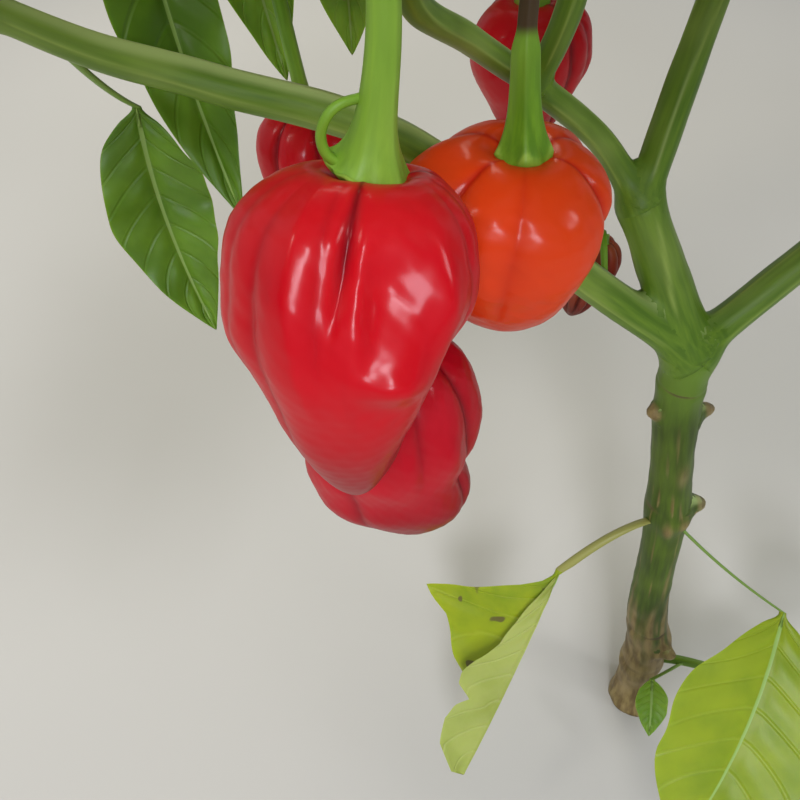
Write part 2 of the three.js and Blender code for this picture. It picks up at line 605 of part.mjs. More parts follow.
// The twigs of a mass: the first leaves the bough's tip, and each forks in two, turned a quarter round.
function growTwigs(mass) {
  const random = seeded(mass.seed);
  const aim = point(mass.aim).normalize();
  const tip = tips.get(mass.bough);
  const twigs = [];
  const grow = (start, direction, roll, generation) => {
    const length = TWIG_LENGTH * TWIG_SHARE ** generation * (0.88 + 0.24 * random());
    const end = start.clone().addScaledVector(direction, length);
    const foot = generation === 0 ? FIRST_BASE : TWIG_BASE;
    const bare = [0.4, 0.6, 0.8, 1].every((s) => {
      const at = start.clone().lerp(end, s);
      const near = woodySpots.filter((spot) => spot.at.distanceTo(start) > spot.radius + foot);
      return clearOf(near, at, TWIG_AIR) && !inOpening(at) && inSpace(mass.name, at);
    });
    if (!bare) return;
    const radius = TWIG_RADIUS * TWIG_TAPER ** generation;
    twigs.push({ start, end, direction, roll, generation, radius });
    if (generation + 1 === GENERATIONS) return;
    const [side, over] = crosswise(direction, hintFor([start, end]));
    const across = side.multiplyScalar(Math.cos(roll)).addScaledVector(over, Math.sin(roll));
    for (const way of [-1, 1]) {
      const angle = way * FORK_ANGLE * (0.8 + 0.4 * random());
      const next = direction.clone().multiplyScalar(Math.cos(angle)).addScaledVector(across, Math.sin(angle));
      next.addScaledVector(aim, 0.2).normalize();
      grow(end.clone().addScaledVector(direction, -radius * 0.5), next, roll + Math.PI / 2, generation + 1);
    }
  };
  const first = tip.direction.clone().add(aim).normalize();
  grow(tip.at.clone(), first, random() * Math.PI, 0);
  for (const twig of twigs) {
    for (const s of [0.15, 0.3, 0.45, 0.6, 0.75, 0.9, 1]) {
      woodySpots.push({ at: twig.start.clone().lerp(twig.end, s), radius: twig.radius });
    }
  }
  return twigs;
}

// Fruit in a mass hangs straight down from the end of a twig, where it has room.
const FRUIT_AIR = 2;
const STALK_SWING = 6; // how far a stalk swings out, and how far it has dropped there
const STALK_DROP = 7;

function growFruit(mass, twigs) {
  const random = seeded(mass.seed + 100);
  const fruits = [];
  for (const twig of twigs) {
    const size = 0.8 + 0.4 * random();
    const turn = random() * Math.PI;
    if (fruits.length === mass.fruit || twig.generation > 1) continue;
    const swing = twig.direction.clone().setZ(0).multiplyScalar(STALK_SWING);
    const calyx = twig.end.clone().add(swing).add(new THREE.Vector3(0, 0, -FRUIT_STALK));
    const radius = FRUIT_RADIUS * size;
    const length = FRUIT_LENGTH * size;
    const middle = calyx.clone().add(new THREE.Vector3(0, 0, -length * 0.45));
    const foot = calyx.clone().add(new THREE.Vector3(0, 0, -length));
    const roomy = [calyx, middle, foot].every((at) => !inOpening(at) && inSpace(mass.name, at));
    if (!roomy || !clearOf(woodySpots, middle, radius + FRUIT_AIR)) continue;
    const bend = twig.end.clone().add(swing).setZ(twig.end.z - STALK_DROP);
    fruits.push({
      stalk: [twig.end.toArray(), bend.toArray(), calyx.toArray()],
      axis: [0, 0, -1], length, radius,
      lobes: 4, groove: 0.16, waist: 0, taper: 1.7, turn,
    });
    woodySpots.push({ at: middle, radius: radius * 1.05 });
    woodySpots.push({ at: foot.lerp(middle, 0.35), radius: radius * 0.7 });
  }
  return fruits;
}

// A mass's leaves spread from the end of each twig, every one at the golden angle from the one before,
// and droop from petiole to tip. One that would touch a limb, a fruit or another leaf is left out.
const LEAVES_AT_END = 4; // on a last twig, and on any other
const LEAVES_AT_FORK = 3;
const SPARE_ATTEMPTS = 10;

function growLeaves(mass, twigs) {
  const random = seeded(mass.seed + 200);
  const leaves = [];
  for (const twig of twigs) {
    const last = twig.generation + 1 === GENERATIONS;
    const wanted = last ? LEAVES_AT_END : LEAVES_AT_FORK;
    let placed = 0;
    for (let attempt = 0; attempt < wanted + SPARE_ATTEMPTS; attempt += 1) {
      const around = twig.roll + attempt * GOLDEN_ANGLE + 0.6 * random();
      const spread = 0.75 + 0.55 * random();
      const size = (last ? 0.84 : 1) * (0.72 + 0.4 * random());
      const droop = 0.3 + 0.8 * random();
      const slack = random();
      const tilt = LEAF_TILT * (random() - 0.5);
      if (placed === wanted) continue;
      const [side, over] = crosswise(twig.direction, hintFor([twig.start, twig.end]));
      const outwards = side.multiplyScalar(Math.cos(around)).addScaledVector(over, Math.sin(around));
      const lead = twig.direction.clone().multiplyScalar(Math.cos(spread));
      lead.addScaledVector(outwards, Math.sin(spread));
      lead.z = Math.min(lead.z * 0.55 + 0.1, Math.hypot(lead.x, lead.y) * 0.6);
      lead.normalize();
      const share = last && attempt % 2 ? 0.78 : 0.97;
      const root = twig.start.clone().lerp(twig.end, share);
      const base = root.clone().addScaledVector(lead, PETIOLE_LENGTH * size);
      const hang = lead.clone().add(new THREE.Vector3(0, 0, -droop)).normalize();
      const tip = base.clone().addScaledVector(hang, LEAF_LENGTH * size);
      const sideways = new THREE.Vector3(-lead.y, lead.x, 0);
      const face = new THREE.Vector3(0, 0, 1).addScaledVector(lead, 0.35).addScaledVector(sideways, tilt);
      face.normalize();
      const bow = face.clone().multiplyScalar(LEAF_LENGTH * size * (0.1 + 0.08 * slack));
      const width = LEAF_LENGTH * LEAF_WIDTH_SHARE * size;
      const leaf = { root, base, tip, bow, face, width, fold: LEAF_FOLD, belly: LEAF_BELLY };
      const spots = bladeSpots(leaf);
      const open = spots.every((at) => !inOpening(at) && inSpace(mass.name, at));
      if (!open || !spots.every((at) => clearOf(woodySpots, at, LIMB_AIR))) continue;
      if (!spots.every((at) => clearOf(leafSpots, at, LEAF_AIR))) continue;
      leaves.push(leaf);
      placed += 1;
      spots.forEach((at) => leafSpots.push({ at, radius: 0 }));
    }
  }
  return leaves;
}

function massSolid(twigs, fruits, leaves) {
  const pieces = twigs.map((twig) => {
    const taper = (t) => twig.radius * between(1, TWIG_TAPER, t);
    const [side, over] = crosswise(twig.direction, hintFor([twig.start, twig.end]));
    return sweep(3, 1, (t, x, y) => {
      const centre = twig.start.clone().lerp(twig.end, t).addScaledVector(twig.direction, t * twig.radius);
      return centre.addScaledVector(side, x * taper(t) * 1.15).addScaledVector(over, y * taper(t) * 1.15);
    });
  });
  fruits.forEach((fruit) => pieces.push(hangingFruit(fruit)));
  leaves.forEach((leaf) => pieces.push(leafSolid(leaf)));
  return wasm.Manifold.union(pieces);
}

// An ordinary fruit with its stalk in one sweep: the radii of the stalk at its three points, and then the
// shares of the fruit's length at which its skin has a ring.
const STALK_RADII = [1.5, 1.6, 3.4];
const SKIN_SHARES = [0.07, 0.3, 0.6, 0.86, 1];

function hangingFruit(fruit) {
  const stalk = fruit.stalk.map(point);
  const top = stalk[stalk.length - 1];
  const steps = STALK_RADII.length + SKIN_SHARES.length - 1;
  return sweep(8, steps, (t, x, y) => {
    const k = Math.round(t * steps);
    const share = SKIN_SHARES[k - STALK_RADII.length] ?? 0;
    const centre = share ? top.clone() : stalk[k].clone();
    centre.z -= share * fruit.length;
    const skin = fruit.radius * fruitProfile(share, fruit) * grooves(Math.atan2(y, x), share, fruit);
    const radius = share ? skin : STALK_RADII[k];
    return centre.add(new THREE.Vector3(x * radius, y * radius, 0));
  });
}

// Lone leaves and the low shoot are placed first, so that the masses keep clear of them.
const limbsWidened = wasm.Manifold.union(widened);

for (const lone of LONE_LEAVES) {
  const [root, base, tip, bow, face] = [lone.root, lone.base, lone.tip, lone.bow, lone.face].map(point);
  const leaf = { ...lone, root, base, tip, bow, face: face.normalize() };
  const skin = lone.name === "leaf_low_yellow" ? leafYellow : leafGreen;
  group.add(meshOf(lone.name, wholeOf(loneLeafSolid(leaf).subtract(limbsWidened)), skin));
  bladeSpots(leaf).forEach((at) => leafSpots.push({ at, radius: 0 }));
  markLine([root, base], () => PETIOLE_RADIUS);
}

const shootPoints = LOW_SHOOT.line.map(point);
const shootRadius = (t) => between(LOW_SHOOT.radii[0], LOW_SHOOT.radii[1], t);
const shootPieces = [limb(shootPoints, shootRadius, 6)];
LOW_SHOOT.leaves.forEach((each, i) => {
  const root = along(shootPoints, [1, 0.97, 0.5][i]);
  const [base, tip] = [each.base, each.tip].map(point);
  const bow = new THREE.Vector3(0, 0, each.width * 0.35);
  const face = new THREE.Vector3(-0.2, -0.5, 0.85).normalize();
  const leaf = { root, base, tip, bow, face, width: each.width, fold: LEAF_FOLD, belly: LEAF_BELLY };
  shootPieces.push(leafSolid(leaf));
  bladeSpots(leaf).forEach((at) => leafSpots.push({ at, radius: 0 }));
});
const shoot = wasm.Manifold.union(shootPieces).subtract(limbsWidened);
group.add(meshOf(LOW_SHOOT.name, wholeOf(shoot), leafGreen));
markLine(shootPoints, shootRadius);

// The masses: every mass's twigs first, then their fruit, then their leaves.
const twigsOf = new Map(MASSES.map((mass) => [mass.name, growTwigs(mass)]));
const fruitsOf = new Map(MASSES.map((mass) => [mass.name, growFruit(mass, twigsOf.get(mass.name))]));
for (const mass of MASSES) {
  const twigs = twigsOf.get(mass.name);
  const leaves = growLeaves(mass, twigs);
  const solid = massSolid(twigs, fruitsOf.get(mass.name), leaves).subtract(limbsWidened);
  group.add(meshOf(mass.name, wholeOf(solid), leafGreen));
}

export default group;
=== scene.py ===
# %% [markdown]
# ## A chilli pepper plant, dressed
# The plant's plain solids come in first and stay fixed: they say where the stem, boughs, fruit and
# leaves are. Everything made below stands in their place, in the same frame, in metres.
# The camera is set first. It looks down 50 degrees from inside the front of the crown, as a person does
# who bends to look at the fruit, with the angle of view of an ordinary phone.

# %% The frame and the camera
import math

import bpy
import numpy as np
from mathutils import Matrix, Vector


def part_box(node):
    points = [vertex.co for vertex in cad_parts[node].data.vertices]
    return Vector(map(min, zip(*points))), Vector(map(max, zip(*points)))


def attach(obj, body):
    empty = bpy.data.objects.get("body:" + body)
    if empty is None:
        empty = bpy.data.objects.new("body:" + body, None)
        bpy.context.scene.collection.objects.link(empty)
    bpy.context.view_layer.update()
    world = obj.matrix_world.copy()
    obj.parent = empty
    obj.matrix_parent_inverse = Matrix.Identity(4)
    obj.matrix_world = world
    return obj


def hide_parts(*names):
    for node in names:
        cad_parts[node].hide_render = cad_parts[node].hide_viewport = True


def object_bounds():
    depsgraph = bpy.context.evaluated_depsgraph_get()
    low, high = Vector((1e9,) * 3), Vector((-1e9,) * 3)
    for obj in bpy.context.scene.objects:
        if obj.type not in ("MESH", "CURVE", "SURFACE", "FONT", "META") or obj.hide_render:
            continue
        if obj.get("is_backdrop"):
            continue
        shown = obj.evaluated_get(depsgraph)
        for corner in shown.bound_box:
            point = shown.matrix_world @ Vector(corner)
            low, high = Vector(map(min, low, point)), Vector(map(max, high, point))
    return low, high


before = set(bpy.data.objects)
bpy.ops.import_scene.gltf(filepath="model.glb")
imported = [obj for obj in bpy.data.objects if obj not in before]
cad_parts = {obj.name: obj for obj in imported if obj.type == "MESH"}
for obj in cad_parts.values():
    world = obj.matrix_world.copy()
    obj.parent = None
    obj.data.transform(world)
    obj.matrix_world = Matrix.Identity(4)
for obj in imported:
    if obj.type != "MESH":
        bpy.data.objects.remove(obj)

MM = 0.001
solids_box = [list(corner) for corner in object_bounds()]
print("solids' box in metres", [[round(c, 3) for c in corner] for corner in solids_box])

EYE = np.array([-121.35, -101.54, 358.63])  # where the camera stands, in millimetres
EYE_PITCH = math.radians(50)

camera_data = bpy.data.cameras.new("camera")
camera_data.sensor_width = 36.0
camera_data.lens = 29.25
camera_data.clip_start = 0.005
camera = bpy.data.objects.new("camera", camera_data)
camera.location = EYE * MM
camera.rotation_euler = (math.pi / 2 - EYE_PITCH, 0, 0)
bpy.context.scene.collection.objects.link(camera)
bpy.context.scene.camera = camera
# The plain transform keeps the reds as saturated as they are in daylight.
bpy.context.scene.view_settings.view_transform = "Standard"

# %% [markdown]
# ## Small tools
# A surface here is a grid of points worked out with numpy, all at once. A tube closed by a fan at each end
# has no open edge, so it is a real solid. Surfaces could also be drawn by hand with modifiers, but a
# formula keeps every size a named value, and many leaves can share one formula.

# %% Lines in space
def unit(v):
    """Vectors divided by their length."""
    v = np.asarray(v, float)
    return v / np.maximum(np.linalg.norm(v, axis=-1, keepdims=True), 1e-12)


def smooth(x, low, high):
    """0 below low, 1 above high, and 3x^2 - 2x^3 between."""
    u = np.clip((x - low) / (high - low), 0, 1)
    return u * u * (3 - 2 * u)


def turned(angle, middle):
    """How far round an angle lies from another, from -pi to pi."""
    return (angle - middle + math.pi) % (2 * math.pi) - math.pi


def along(points, t):
    """The points at shares t of a smooth line. Each span between two given points is a Catmull-Rom cubic."""
    points = np.asarray(points, float)
    t = np.atleast_1d(np.asarray(t, float))
    spans = len(points) - 1
    k = np.minimum(spans - 1, np.floor(t * spans).astype(int))
    u = (t * spans - k)[:, None]
    b, c = points[k], points[k + 1]
    a = np.where((k > 0)[:, None], points[np.maximum(k - 1, 0)], 2 * b - c)
    d = np.where((k + 2 <= spans)[:, None], points[np.minimum(k + 2, spans)], 2 * c - b)
    return (
        (-0.5 * u**3 + u**2 - 0.5 * u) * a
        + (1.5 * u**3 - 2.5 * u**2 + 1) * b
        + (-1.5 * u**3 + 2 * u**2 + 0.5 * u) * c
        + (0.5 * u**3 - 0.5 * u**2) * d
    )


def heading(points, t):
    """Which way the line runs at shares t."""
    t = np.atleast_1d(np.asarray(t, float))
    return unit(along(points, np.minimum(1, t + 0.01)) - along(points, np.maximum(0, t - 0.01)))


def line_length(points):
    steps = along(points, np.linspace(0, 1, 41))
    return float(np.linalg.norm(np.diff(steps, axis=0), axis=1).sum())


def crosswise(direction, hint):
    """Two directions square to a heading: side is hint x direction, over is side x direction."""
    side = unit(np.cross(hint, direction))
    return side, np.cross(side, direction)


def hint_for(start, end):
    return np.array([0.0, 0, 1]) if abs(unit(np.subtract(end, start))[2]) < 0.8 else np.array([1.0, 0, 0])


def carried_frames(path):
    """Side and over at each point of a path, carried along it without twisting."""
    ahead = unit(np.gradient(path, axis=0))
    side = crosswise(ahead[0], hint_for(path[0], path[0] + ahead[0]))[0]
    sides = [side]
    for direction in ahead[1:]:
        side = unit(side - direction * (side @ direction))
        sides.append(side)
    sides = np.array(sides)
    return sides, np.cross(ahead, sides), ahead


# %% Closed surfaces
CONE_HEIGHT = 0.6  # over the radius
STEM_MARKS = ("ridge", "cork", "scar", "painted_sunlight")  # what the stem finishes read, from 0 to 1


def closed_tube(rings, start, end):
    """Rings (rows, sides, 3) joined by quads, and closed by fans of triangles to the points start and end."""
    rows, sides, _ = rings.shape
    here = np.arange(rows * sides).reshape(rows, sides)
    beside = np.roll(here, -1, axis=1)
    quads = np.stack([here[:-1], beside[:-1], beside[1:], here[1:]], -1).reshape(-1, 4)
    first = np.full(sides, rows * sides)
    fans = [np.stack([beside[0], here[0], first], -1), np.stack([here[-1], beside[-1], first + 1], -1)]
    return {
        "corners": np.concatenate([rings.reshape(-1, 3), [start], [end]]),
        "quads": quads,
        "fans": np.concatenate(fans),
    }


def ring_angles(sides):
    return np.linspace(0, 2 * math.pi, sides, endpoint=False)


def ring_spokes(side, over, sides):
    """The directions of a ring's corners at each point of a line, from side round towards over."""
    angle = ring_angles(sides)[:, None]
    return side[:, None] * np.cos(angle) + over[:, None] * np.sin(angle)


def straightened(rings):
    """Where the corners of a tube's rings would be if its line stood upright on its first point."""
    middle = rings.mean(1)
    run = np.append(0, np.cumsum(np.linalg.norm(np.diff(middle, axis=0), axis=1)))
    angle = ring_angles(rings.shape[1])
    reach = np.linalg.norm(rings - middle[:, None], axis=2)
    upright = [reach * np.cos(angle), reach * np.sin(angle), np.tile(run[:, None], (1, len(angle)))]
    return middle[0] + np.stack(upright, -1)


def grained(tube, sides):
    """The same tube, with the place that each corner has when straightened, so that stripes follow it."""
    straight = straightened(tube["corners"][:-2].reshape(-1, sides, 3))
    ends = [straight[0].mean(0), straight[-1].mean(0)]
    tube["grain"] = np.concatenate([straight.reshape(-1, 3), ends]) * MM
    return tube


def plain_tube(line, radii, sides, step):
    """A round tapering tube along a smooth line, with a low cone at its far end."""
    share = np.linspace(0, 1, max(3, int(line_length(line) / step)))
    path = along(line, share)
    side, over, ahead = carried_frames(path)
    reach = (radii[0] + (radii[1] - radii[0]) * share)[:, None, None]
    rings = path[:, None] + ring_spokes(side, over, sides) * reach
    return grained(closed_tube(rings, path[0], path[-1] + ahead[-1] * radii[1] * CONE_HEIGHT), sides)


def unmarked(tube):
    """The same tube, with every mark that the stem finishes read set to 0."""
    for key in STEM_MARKS:
        tube["mark_" + key] = np.zeros(len(tube["corners"]))
    return tube


def outwards(surface):
    """Turns the faces over if the surface is inside out, so that they enclose a negative volume."""
    corners, quads, fans = surface["corners"], surface["quads"], surface["fans"]
    halves = np.concatenate([quads[:, [0, 1, 2]], quads[:, [0, 2, 3]], fans])
    a, b, c = (corners[halves[:, i]] - corners.mean(0) for i in range(3))
    if np.einsum("ij,ij->i", a, np.cross(b, c)).sum() < 0:
        surface["quads"], surface["fans"] = quads[:, ::-1], fans[:, ::-1]
    return surface


def together(surfaces):
    """Many closed surfaces as one, each turned outwards first."""
    surfaces = [outwards(surface) for surface in surfaces]
    starts = np.cumsum([0] + [len(s["corners"]) for s in surfaces[:-1]])
    made = {key: np.concatenate([s[key] for s in surfaces]) for key in surfaces[0]}
    for key in ("quads", "fans"):
        made[key] = np.concatenate([s[key] + start for s, start in zip(surfaces, starts)])
    return made


def placed(name, data):
    """A new object in the scene."""
    made = bpy.data.objects.new(name, data)
    bpy.context.scene.collection.objects.link(made)
    return made


def make_piece(name, surface, finishes, nodes=()):
    """Puts a surface into a mesh object that rides on the plant. Optional parts of a surface: quad_finish
    and fan_finish pick a finish for each face, uv, grain and marks hold values for each corner, and the
    edges between two corners with rim set stay sharp."""
    surface = outwards(surface)
    corners, quads, fans = surface["corners"] * MM, surface["quads"], surface["fans"]
    mesh = bpy.data.meshes.new(name)
    mesh.vertices.add(len(corners))
    mesh.vertices.foreach_set("co", corners.ravel())
    loops = np.concatenate([quads.ravel(), fans.ravel()]).astype(np.int32)
    starts = np.concatenate([np.arange(len(quads)) * 4, len(quads) * 4 + np.arange(len(fans)) * 3])
    mesh.loops.add(len(loops))
    mesh.loops.foreach_set("vertex_index", loops)
    mesh.polygons.add(len(starts))
    mesh.polygons.foreach_set("loop_start", starts.astype(np.int32))
    mesh.update(calc_edges=True)
    mesh.polygons.foreach_set("use_smooth", np.ones(len(starts), bool))
    if "quad_finish" in surface:
        finish = np.concatenate([surface["quad_finish"], surface["fan_finish"]])
        mesh.polygons.foreach_set("material_index", finish.astype(np.int32))
    if "uv" in surface:
        mesh.uv_layers.new(name="UVMap").data.foreach_set("uv", surface["uv"][loops].ravel())
    if "grain" in surface:
        grain = mesh.attributes.new("grain", "FLOAT_VECTOR", "POINT")
        grain.data.foreach_set("vector", surface["grain"].astype(np.float32).ravel())
    for key in surface:
        if key.startswith("mark_"):
            value = mesh.attributes.new(key.removeprefix("mark_"), "FLOAT", "POINT")
            value.data.foreach_set("value", surface[key].astype(np.float32))
    if "rim" in surface:
        edges = np.zeros(len(mesh.edges) * 2, np.int32)
        mesh.edges.foreach_get("vertices", edges)
        sharp = surface["rim"][edges.reshape(-1, 2)].all(1)
        mesh.attributes.new("sharp_edge", "BOOLEAN", "EDGE").data.foreach_set("value", sharp)
    for finish in finishes:
        mesh.materials.append(finish)
    piece = placed(name, mesh)
    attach(piece, "root")
    if nodes:
        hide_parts(*nodes)
    print(name, len(quads) * 2 + len(fans), "triangles")


def ripple(points, size, seed, layers=6):
    """Smooth unevenness, mostly from -1 to 1: sines along random directions, each about one size long."""
    random = np.random.default_rng(seed)
    ways = unit(random.normal(size=(layers, 3))) * (2 * math.pi / size)
    ways = ways * random.uniform(0.7, 1.5, (layers, 1))
    return np.sin(points @ ways.T + random.uniform(0, 6.28, layers)).mean(-1) * 1.5


# %% [markdown]
# ## Finishes
# Plants have few hard colours: most finishes below mix two or three tones by a soft noise with a real size
# in millimetres. One function adds a node with its settings and links.
# Painted pictures could hold all this too, but a pattern made of nodes has no size limit and no file.

# %% Helpers for finishes
def linear(code):
    """An sRGB hex colour as the linear numbers that a shader wants."""
    tones = [int(code[i : i + 2], 16) / 255 for i in (1, 3, 5)]
    return (*[t / 12.92 if t <= 0.04045 else ((t + 0.055) / 1.055) ** 2.4 for t in tones], 1.0)


def add(tree, kind, inputs=None, **settings):
    """Adds a node. inputs gives values or links by socket, settings its own properties."""
    node = tree.nodes.new(kind)
    for key, value in settings.items():
        setattr(node, key, value)
    for key, value in (inputs or {}).items():
        if isinstance(value, bpy.types.NodeSocket):
            tree.links.new(value, node.inputs[key])
        else:
            node.inputs[key].default_value = value
    return node


def per_mm(size):
    """A pattern scale in Object coordinates whose features are about this many millimetres."""
    return 1 / (size * MM)


def new_finish(name, colour, **shader_values):
    """A material with one Principled shader. shader_values are set on its own sockets."""
    made = bpy.data.materials.new(name)
    made.use_nodes = True
    shader = made.node_tree.nodes["Principled BSDF"]
    shader.inputs["Base Color"].default_value = linear(colour)
    for key, value in shader_values.items():
        shader.inputs[key.replace("_", " ")].default_value = value
    return made, made.node_tree, shader


def noise(tree, size, detail=2.0, stretch=(1, 1, 1), place=None):
    """A soft noise on place or on Object coordinates, about size millimetres large, from 0 to 1."""
    place = place or add(tree, "ShaderNodeTexCoord").outputs["Object"]
    mapped = add(tree, "ShaderNodeMapping", {"Vector": place, "Scale": stretch}).outputs[0]
    spread = {"Vector": mapped, "Scale": per_mm(size), "Detail": detail}
    return add(tree, "ShaderNodeTexNoise", spread).outputs["Fac"]


def blended(tree, amount, low, high, a, b):
    """Colour a where amount is low and b where it is high, with a soft step between."""
    step = {"Value": amount, "From Min": low, "From Max": high}
    share = add(tree, "ShaderNodeMapRange", step, interpolation_type="SMOOTHSTEP").outputs[0]
    tones = [linear(tone) if isinstance(tone, str) else tone for tone in (a, b)]
    return add(tree, "ShaderNodeMix", {0: share, 6: tones[0], 7: tones[1]}, data_type="RGBA").outputs[2]


def mark(tree, name):
    """A value that the mesh carries at its corners."""
    return add(tree, "ShaderNodeAttribute", attribute_name=name).outputs["Fac"]


def bumped(tree, shader, height, strength, depth, **settings):
    """Roughens the shader's normal by a height from 0 to 1, with a depth in millimetres."""
    bump = {"Height": height, "Strength": strength, "Distance": depth * MM}
    tree.links.new(add(tree, "ShaderNodeBump", bump, **settings).outputs[0], shader.inputs["Normal"])


def maths(tree, operation, *values):
    """The result of a sum on one, two or three values or links."""
    return add(tree, "ShaderNodeMath", dict(enumerate(values)), operation=operation).outputs[0]


# %% [markdown]
# ### Fruit skin
# The skin of a ripe lantern chilli is a waxy cuticle over deep red flesh. To the eye it is a clear gloss over
# a saturated colour, with sharp, pale highlights, and a warmer tone where the fruit is still ripening. A
# darker tone in the folds and towards the tip is painted shade. A coat over a base of medium roughness gives
# the wax.

# %% Fruit skins
def fruit_skin(name, ripe, fold, young, gloss=0.19, wrinkle=0.16):
    """The ripe tone, with the young one in large soft patches and on the shoulders, and the fold tone in
    thin streaks, and as painted shade in the creases and towards the tip. gloss is the coat's roughness."""
    made, tree, shader = new_finish(
        name, ripe, Roughness=0.5, Specular_IOR_Level=0.08, Coat_Weight=0.3, Coat_Roughness=gloss,
        Subsurface_Weight=0.1, Subsurface_Radius=(1.0, 0.2, 0.1), Subsurface_Scale=2 * MM,
    )
    flesh = blended(tree, noise(tree, 24), 0.4, 0.7, ripe, young)
    flesh = blended(tree, noise(tree, 3.5, 2.0, (1, 1, 0.16)), 0.5, 2.2, flesh, fold)
    flesh = blended(tree, mark(tree, "shoulder"), 0.2, 1.3, flesh, young)
    # Painted shade: the fold tone towards the tip and along the creases.
    flesh = blended(tree, mark(tree, "tip"), 0.0, 1.6, flesh, fold)
    flesh = blended(tree, mark(tree, "crease"), 0.05, 1.3, flesh, fold)
    tree.links.new(flesh, shader.inputs["Base Color"])
    bumped(tree, shader, noise(tree, 2.6, 3.0, (1, 1, 0.4)), wrinkle, 0.35)
    return made


red_skin = fruit_skin("ripe_red_chilli_skin", "#c00316", "#6c010f", "#cc161e")
dark_red_skin = fruit_skin("deep_red_chilli_skin", "#ac0318", "#5e010e", "#b6091e")
orange_skin = fruit_skin("ripening_orange_chilli_skin", "#e2400e", "#b81406", "#dd400f")
withered_skin = fruit_skin("dried_chilli_skin", "#86281a", "#40120b", "#9a4a28", 0.5, 0.9)

# %% [markdown]
# ### Green stems and corky bark
# Young pepper wood is green, angular and faintly striped along its length, with paler ridges. Its upper
# side is painted paler, for the light that falls on it from above. The old foot of the stem turns beige and
# corky. Values carried by the mesh say where.

# %% Stem and bark
# A skin with a fork tone turns to it between these heights, in millimetres.
FORK_TONE_LOW, FORK_TONE_HIGH = 182, 212
# The tone painted on the limbs' upper sides, for the light from above.
PAINTED_SUNLIGHT_GREEN = "#b6ca7e"
OLD_WOOD = ("#6b5630", "#a08c58", "#a18c62")
SCAR_BROWN = "#4a3a24"


def stem_skin(name, green, pale, dark, fork_tone=None):
    """A striped green skin that turns to old wood and scars by the marks on the mesh, with painted light
    paling its upper side.
    """
    made, tree, shader = new_finish(name, green, Roughness=0.45, Specular_IOR_Level=0.28)
    along_limb = add(tree, "ShaderNodeAttribute", attribute_name="grain").outputs["Vector"]
    streaks = noise(tree, 1.8, 3.0, (1, 1, 0.1), along_limb)
    skin = blended(tree, streaks, 0.3, 0.8, dark, green)
    skin = blended(tree, noise(tree, 30), 0.35, 1.1, skin, pale)
    skin = blended(tree, mark(tree, "ridge"), 0.2, 1.7, skin, pale)
    # Painted light: the upper side turns paler, as light from above falls on it.
    skin = blended(tree, mark(tree, "painted_sunlight"), 0.0, 1.3, skin, PAINTED_SUNLIGHT_GREEN)
    if fork_tone:
        place = add(tree, "ShaderNodeTexCoord").outputs["Object"]
        height = add(tree, "ShaderNodeSeparateXYZ", {0: place}).outputs[2]
        skin = blended(tree, height, FORK_TONE_LOW * MM, FORK_TONE_HIGH * MM, skin, fork_tone)
    fibres = noise(tree, 2.6, 4.0, (1, 1, 0.22), along_limb)
    old_wood = blended(tree, fibres, 0.3, 0.75, OLD_WOOD[0], OLD_WOOD[1])
    old_wood = blended(tree, noise(tree, 12), 0.4, 0.8, old_wood, OLD_WOOD[2])
    skin = blended(tree, mark(tree, "cork"), 0.1, 0.9, skin, old_wood)
    skin = blended(tree, mark(tree, "scar"), 0.3, 0.9, skin, SCAR_BROWN)
    tree.links.new(skin, shader.inputs["Base Color"])
    bumped(tree, shader, noise(tree, 1.1, 4.0, (1, 1, 0.25), along_limb), 0.25, 0.25)
    return made


green_bark = stem_skin("green_stem_skin", "#6e9026", "#a2b85c", "#527519")
foot_bark = stem_skin("corky_stem_skin", "#4c6414", "#6f8428", "#38490e", "#69892a")
stalk_skin = stem_skin("fruit_stalk_skin", "#72a021", "#a0c24c", "#578416")

# %% [markdown]
# ### Leaves
# A pepper leaf is a thin, glossy blade with a pale midrib and side veins that arch towards the tip. Light
# comes through it, so it glows yellow-green from below. The blade's own UV map runs across and along it,
# which lets a few sums draw the veins: a vein is where the share of the way along, times the pairs of
# veins, less an arch that grows with the distance from the midrib, is near a whole number.

# %% Leaf finishes
VEIN_PAIRS = 8
VEIN_ARCH = 3.2
VEIN_CURVE = 1.25


def vein_mask(tree, width):
    """1 on the side veins and 0 between them, from the blade's UV map: u across, v along."""
    parts = add(tree, "ShaderNodeSeparateXYZ", {0: add(tree, "ShaderNodeUVMap").outputs[0]})
    off = maths(tree, "ABSOLUTE", maths(tree, "SUBTRACT", parts.outputs[0], 0.5))
    arch = maths(tree, "MULTIPLY", maths(tree, "POWER", off, VEIN_CURVE), VEIN_ARCH)
    lines = maths(tree, "SUBTRACT", maths(tree, "MULTIPLY", parts.outputs[1], VEIN_PAIRS), arch)
    near = maths(tree, "PINGPONG", lines, 0.5)
    step = {"Value": near, "From Min": 0.0, "From Max": width, "To Min": 1.0, "To Max": 0.0}
    return add(tree, "ShaderNodeMapRange", step, interpolation_type="SMOOTHSTEP").outputs[0]


def blade(name, green, vein=None, blotch=None, gloss=0.4, glow=0.25, specks=None):
    """A leaf's skin. With vein and blotch tones its colour follows the blade, otherwise it is plain.
    gloss is its roughness, and glow how much light it lets into itself."""
    made, tree, shader = new_finish(
        name, green, Roughness=gloss, Specular_IOR_Level=0.32,
        Subsurface_Weight=glow, Subsurface_Radius=(0.6, 1.0, 0.2), Subsurface_Scale=1.2 * MM,
    )
    veins = vein_mask(tree, 0.1)
    if vein:
        skin = blended(tree, noise(tree, 16, 4.0), 0.35, 0.75, green, blotch)
        skin = blended(tree, veins, 0.2, 2.6, skin, vein)
        if specks:
            skin = blended(tree, noise(tree, 7, 0.0), 0.71, 0.75, skin, specks)
        tree.links.new(skin, shader.inputs["Base Color"])
    bumped(tree, shader, veins, 0.5, 0.5, invert=True)
    return made


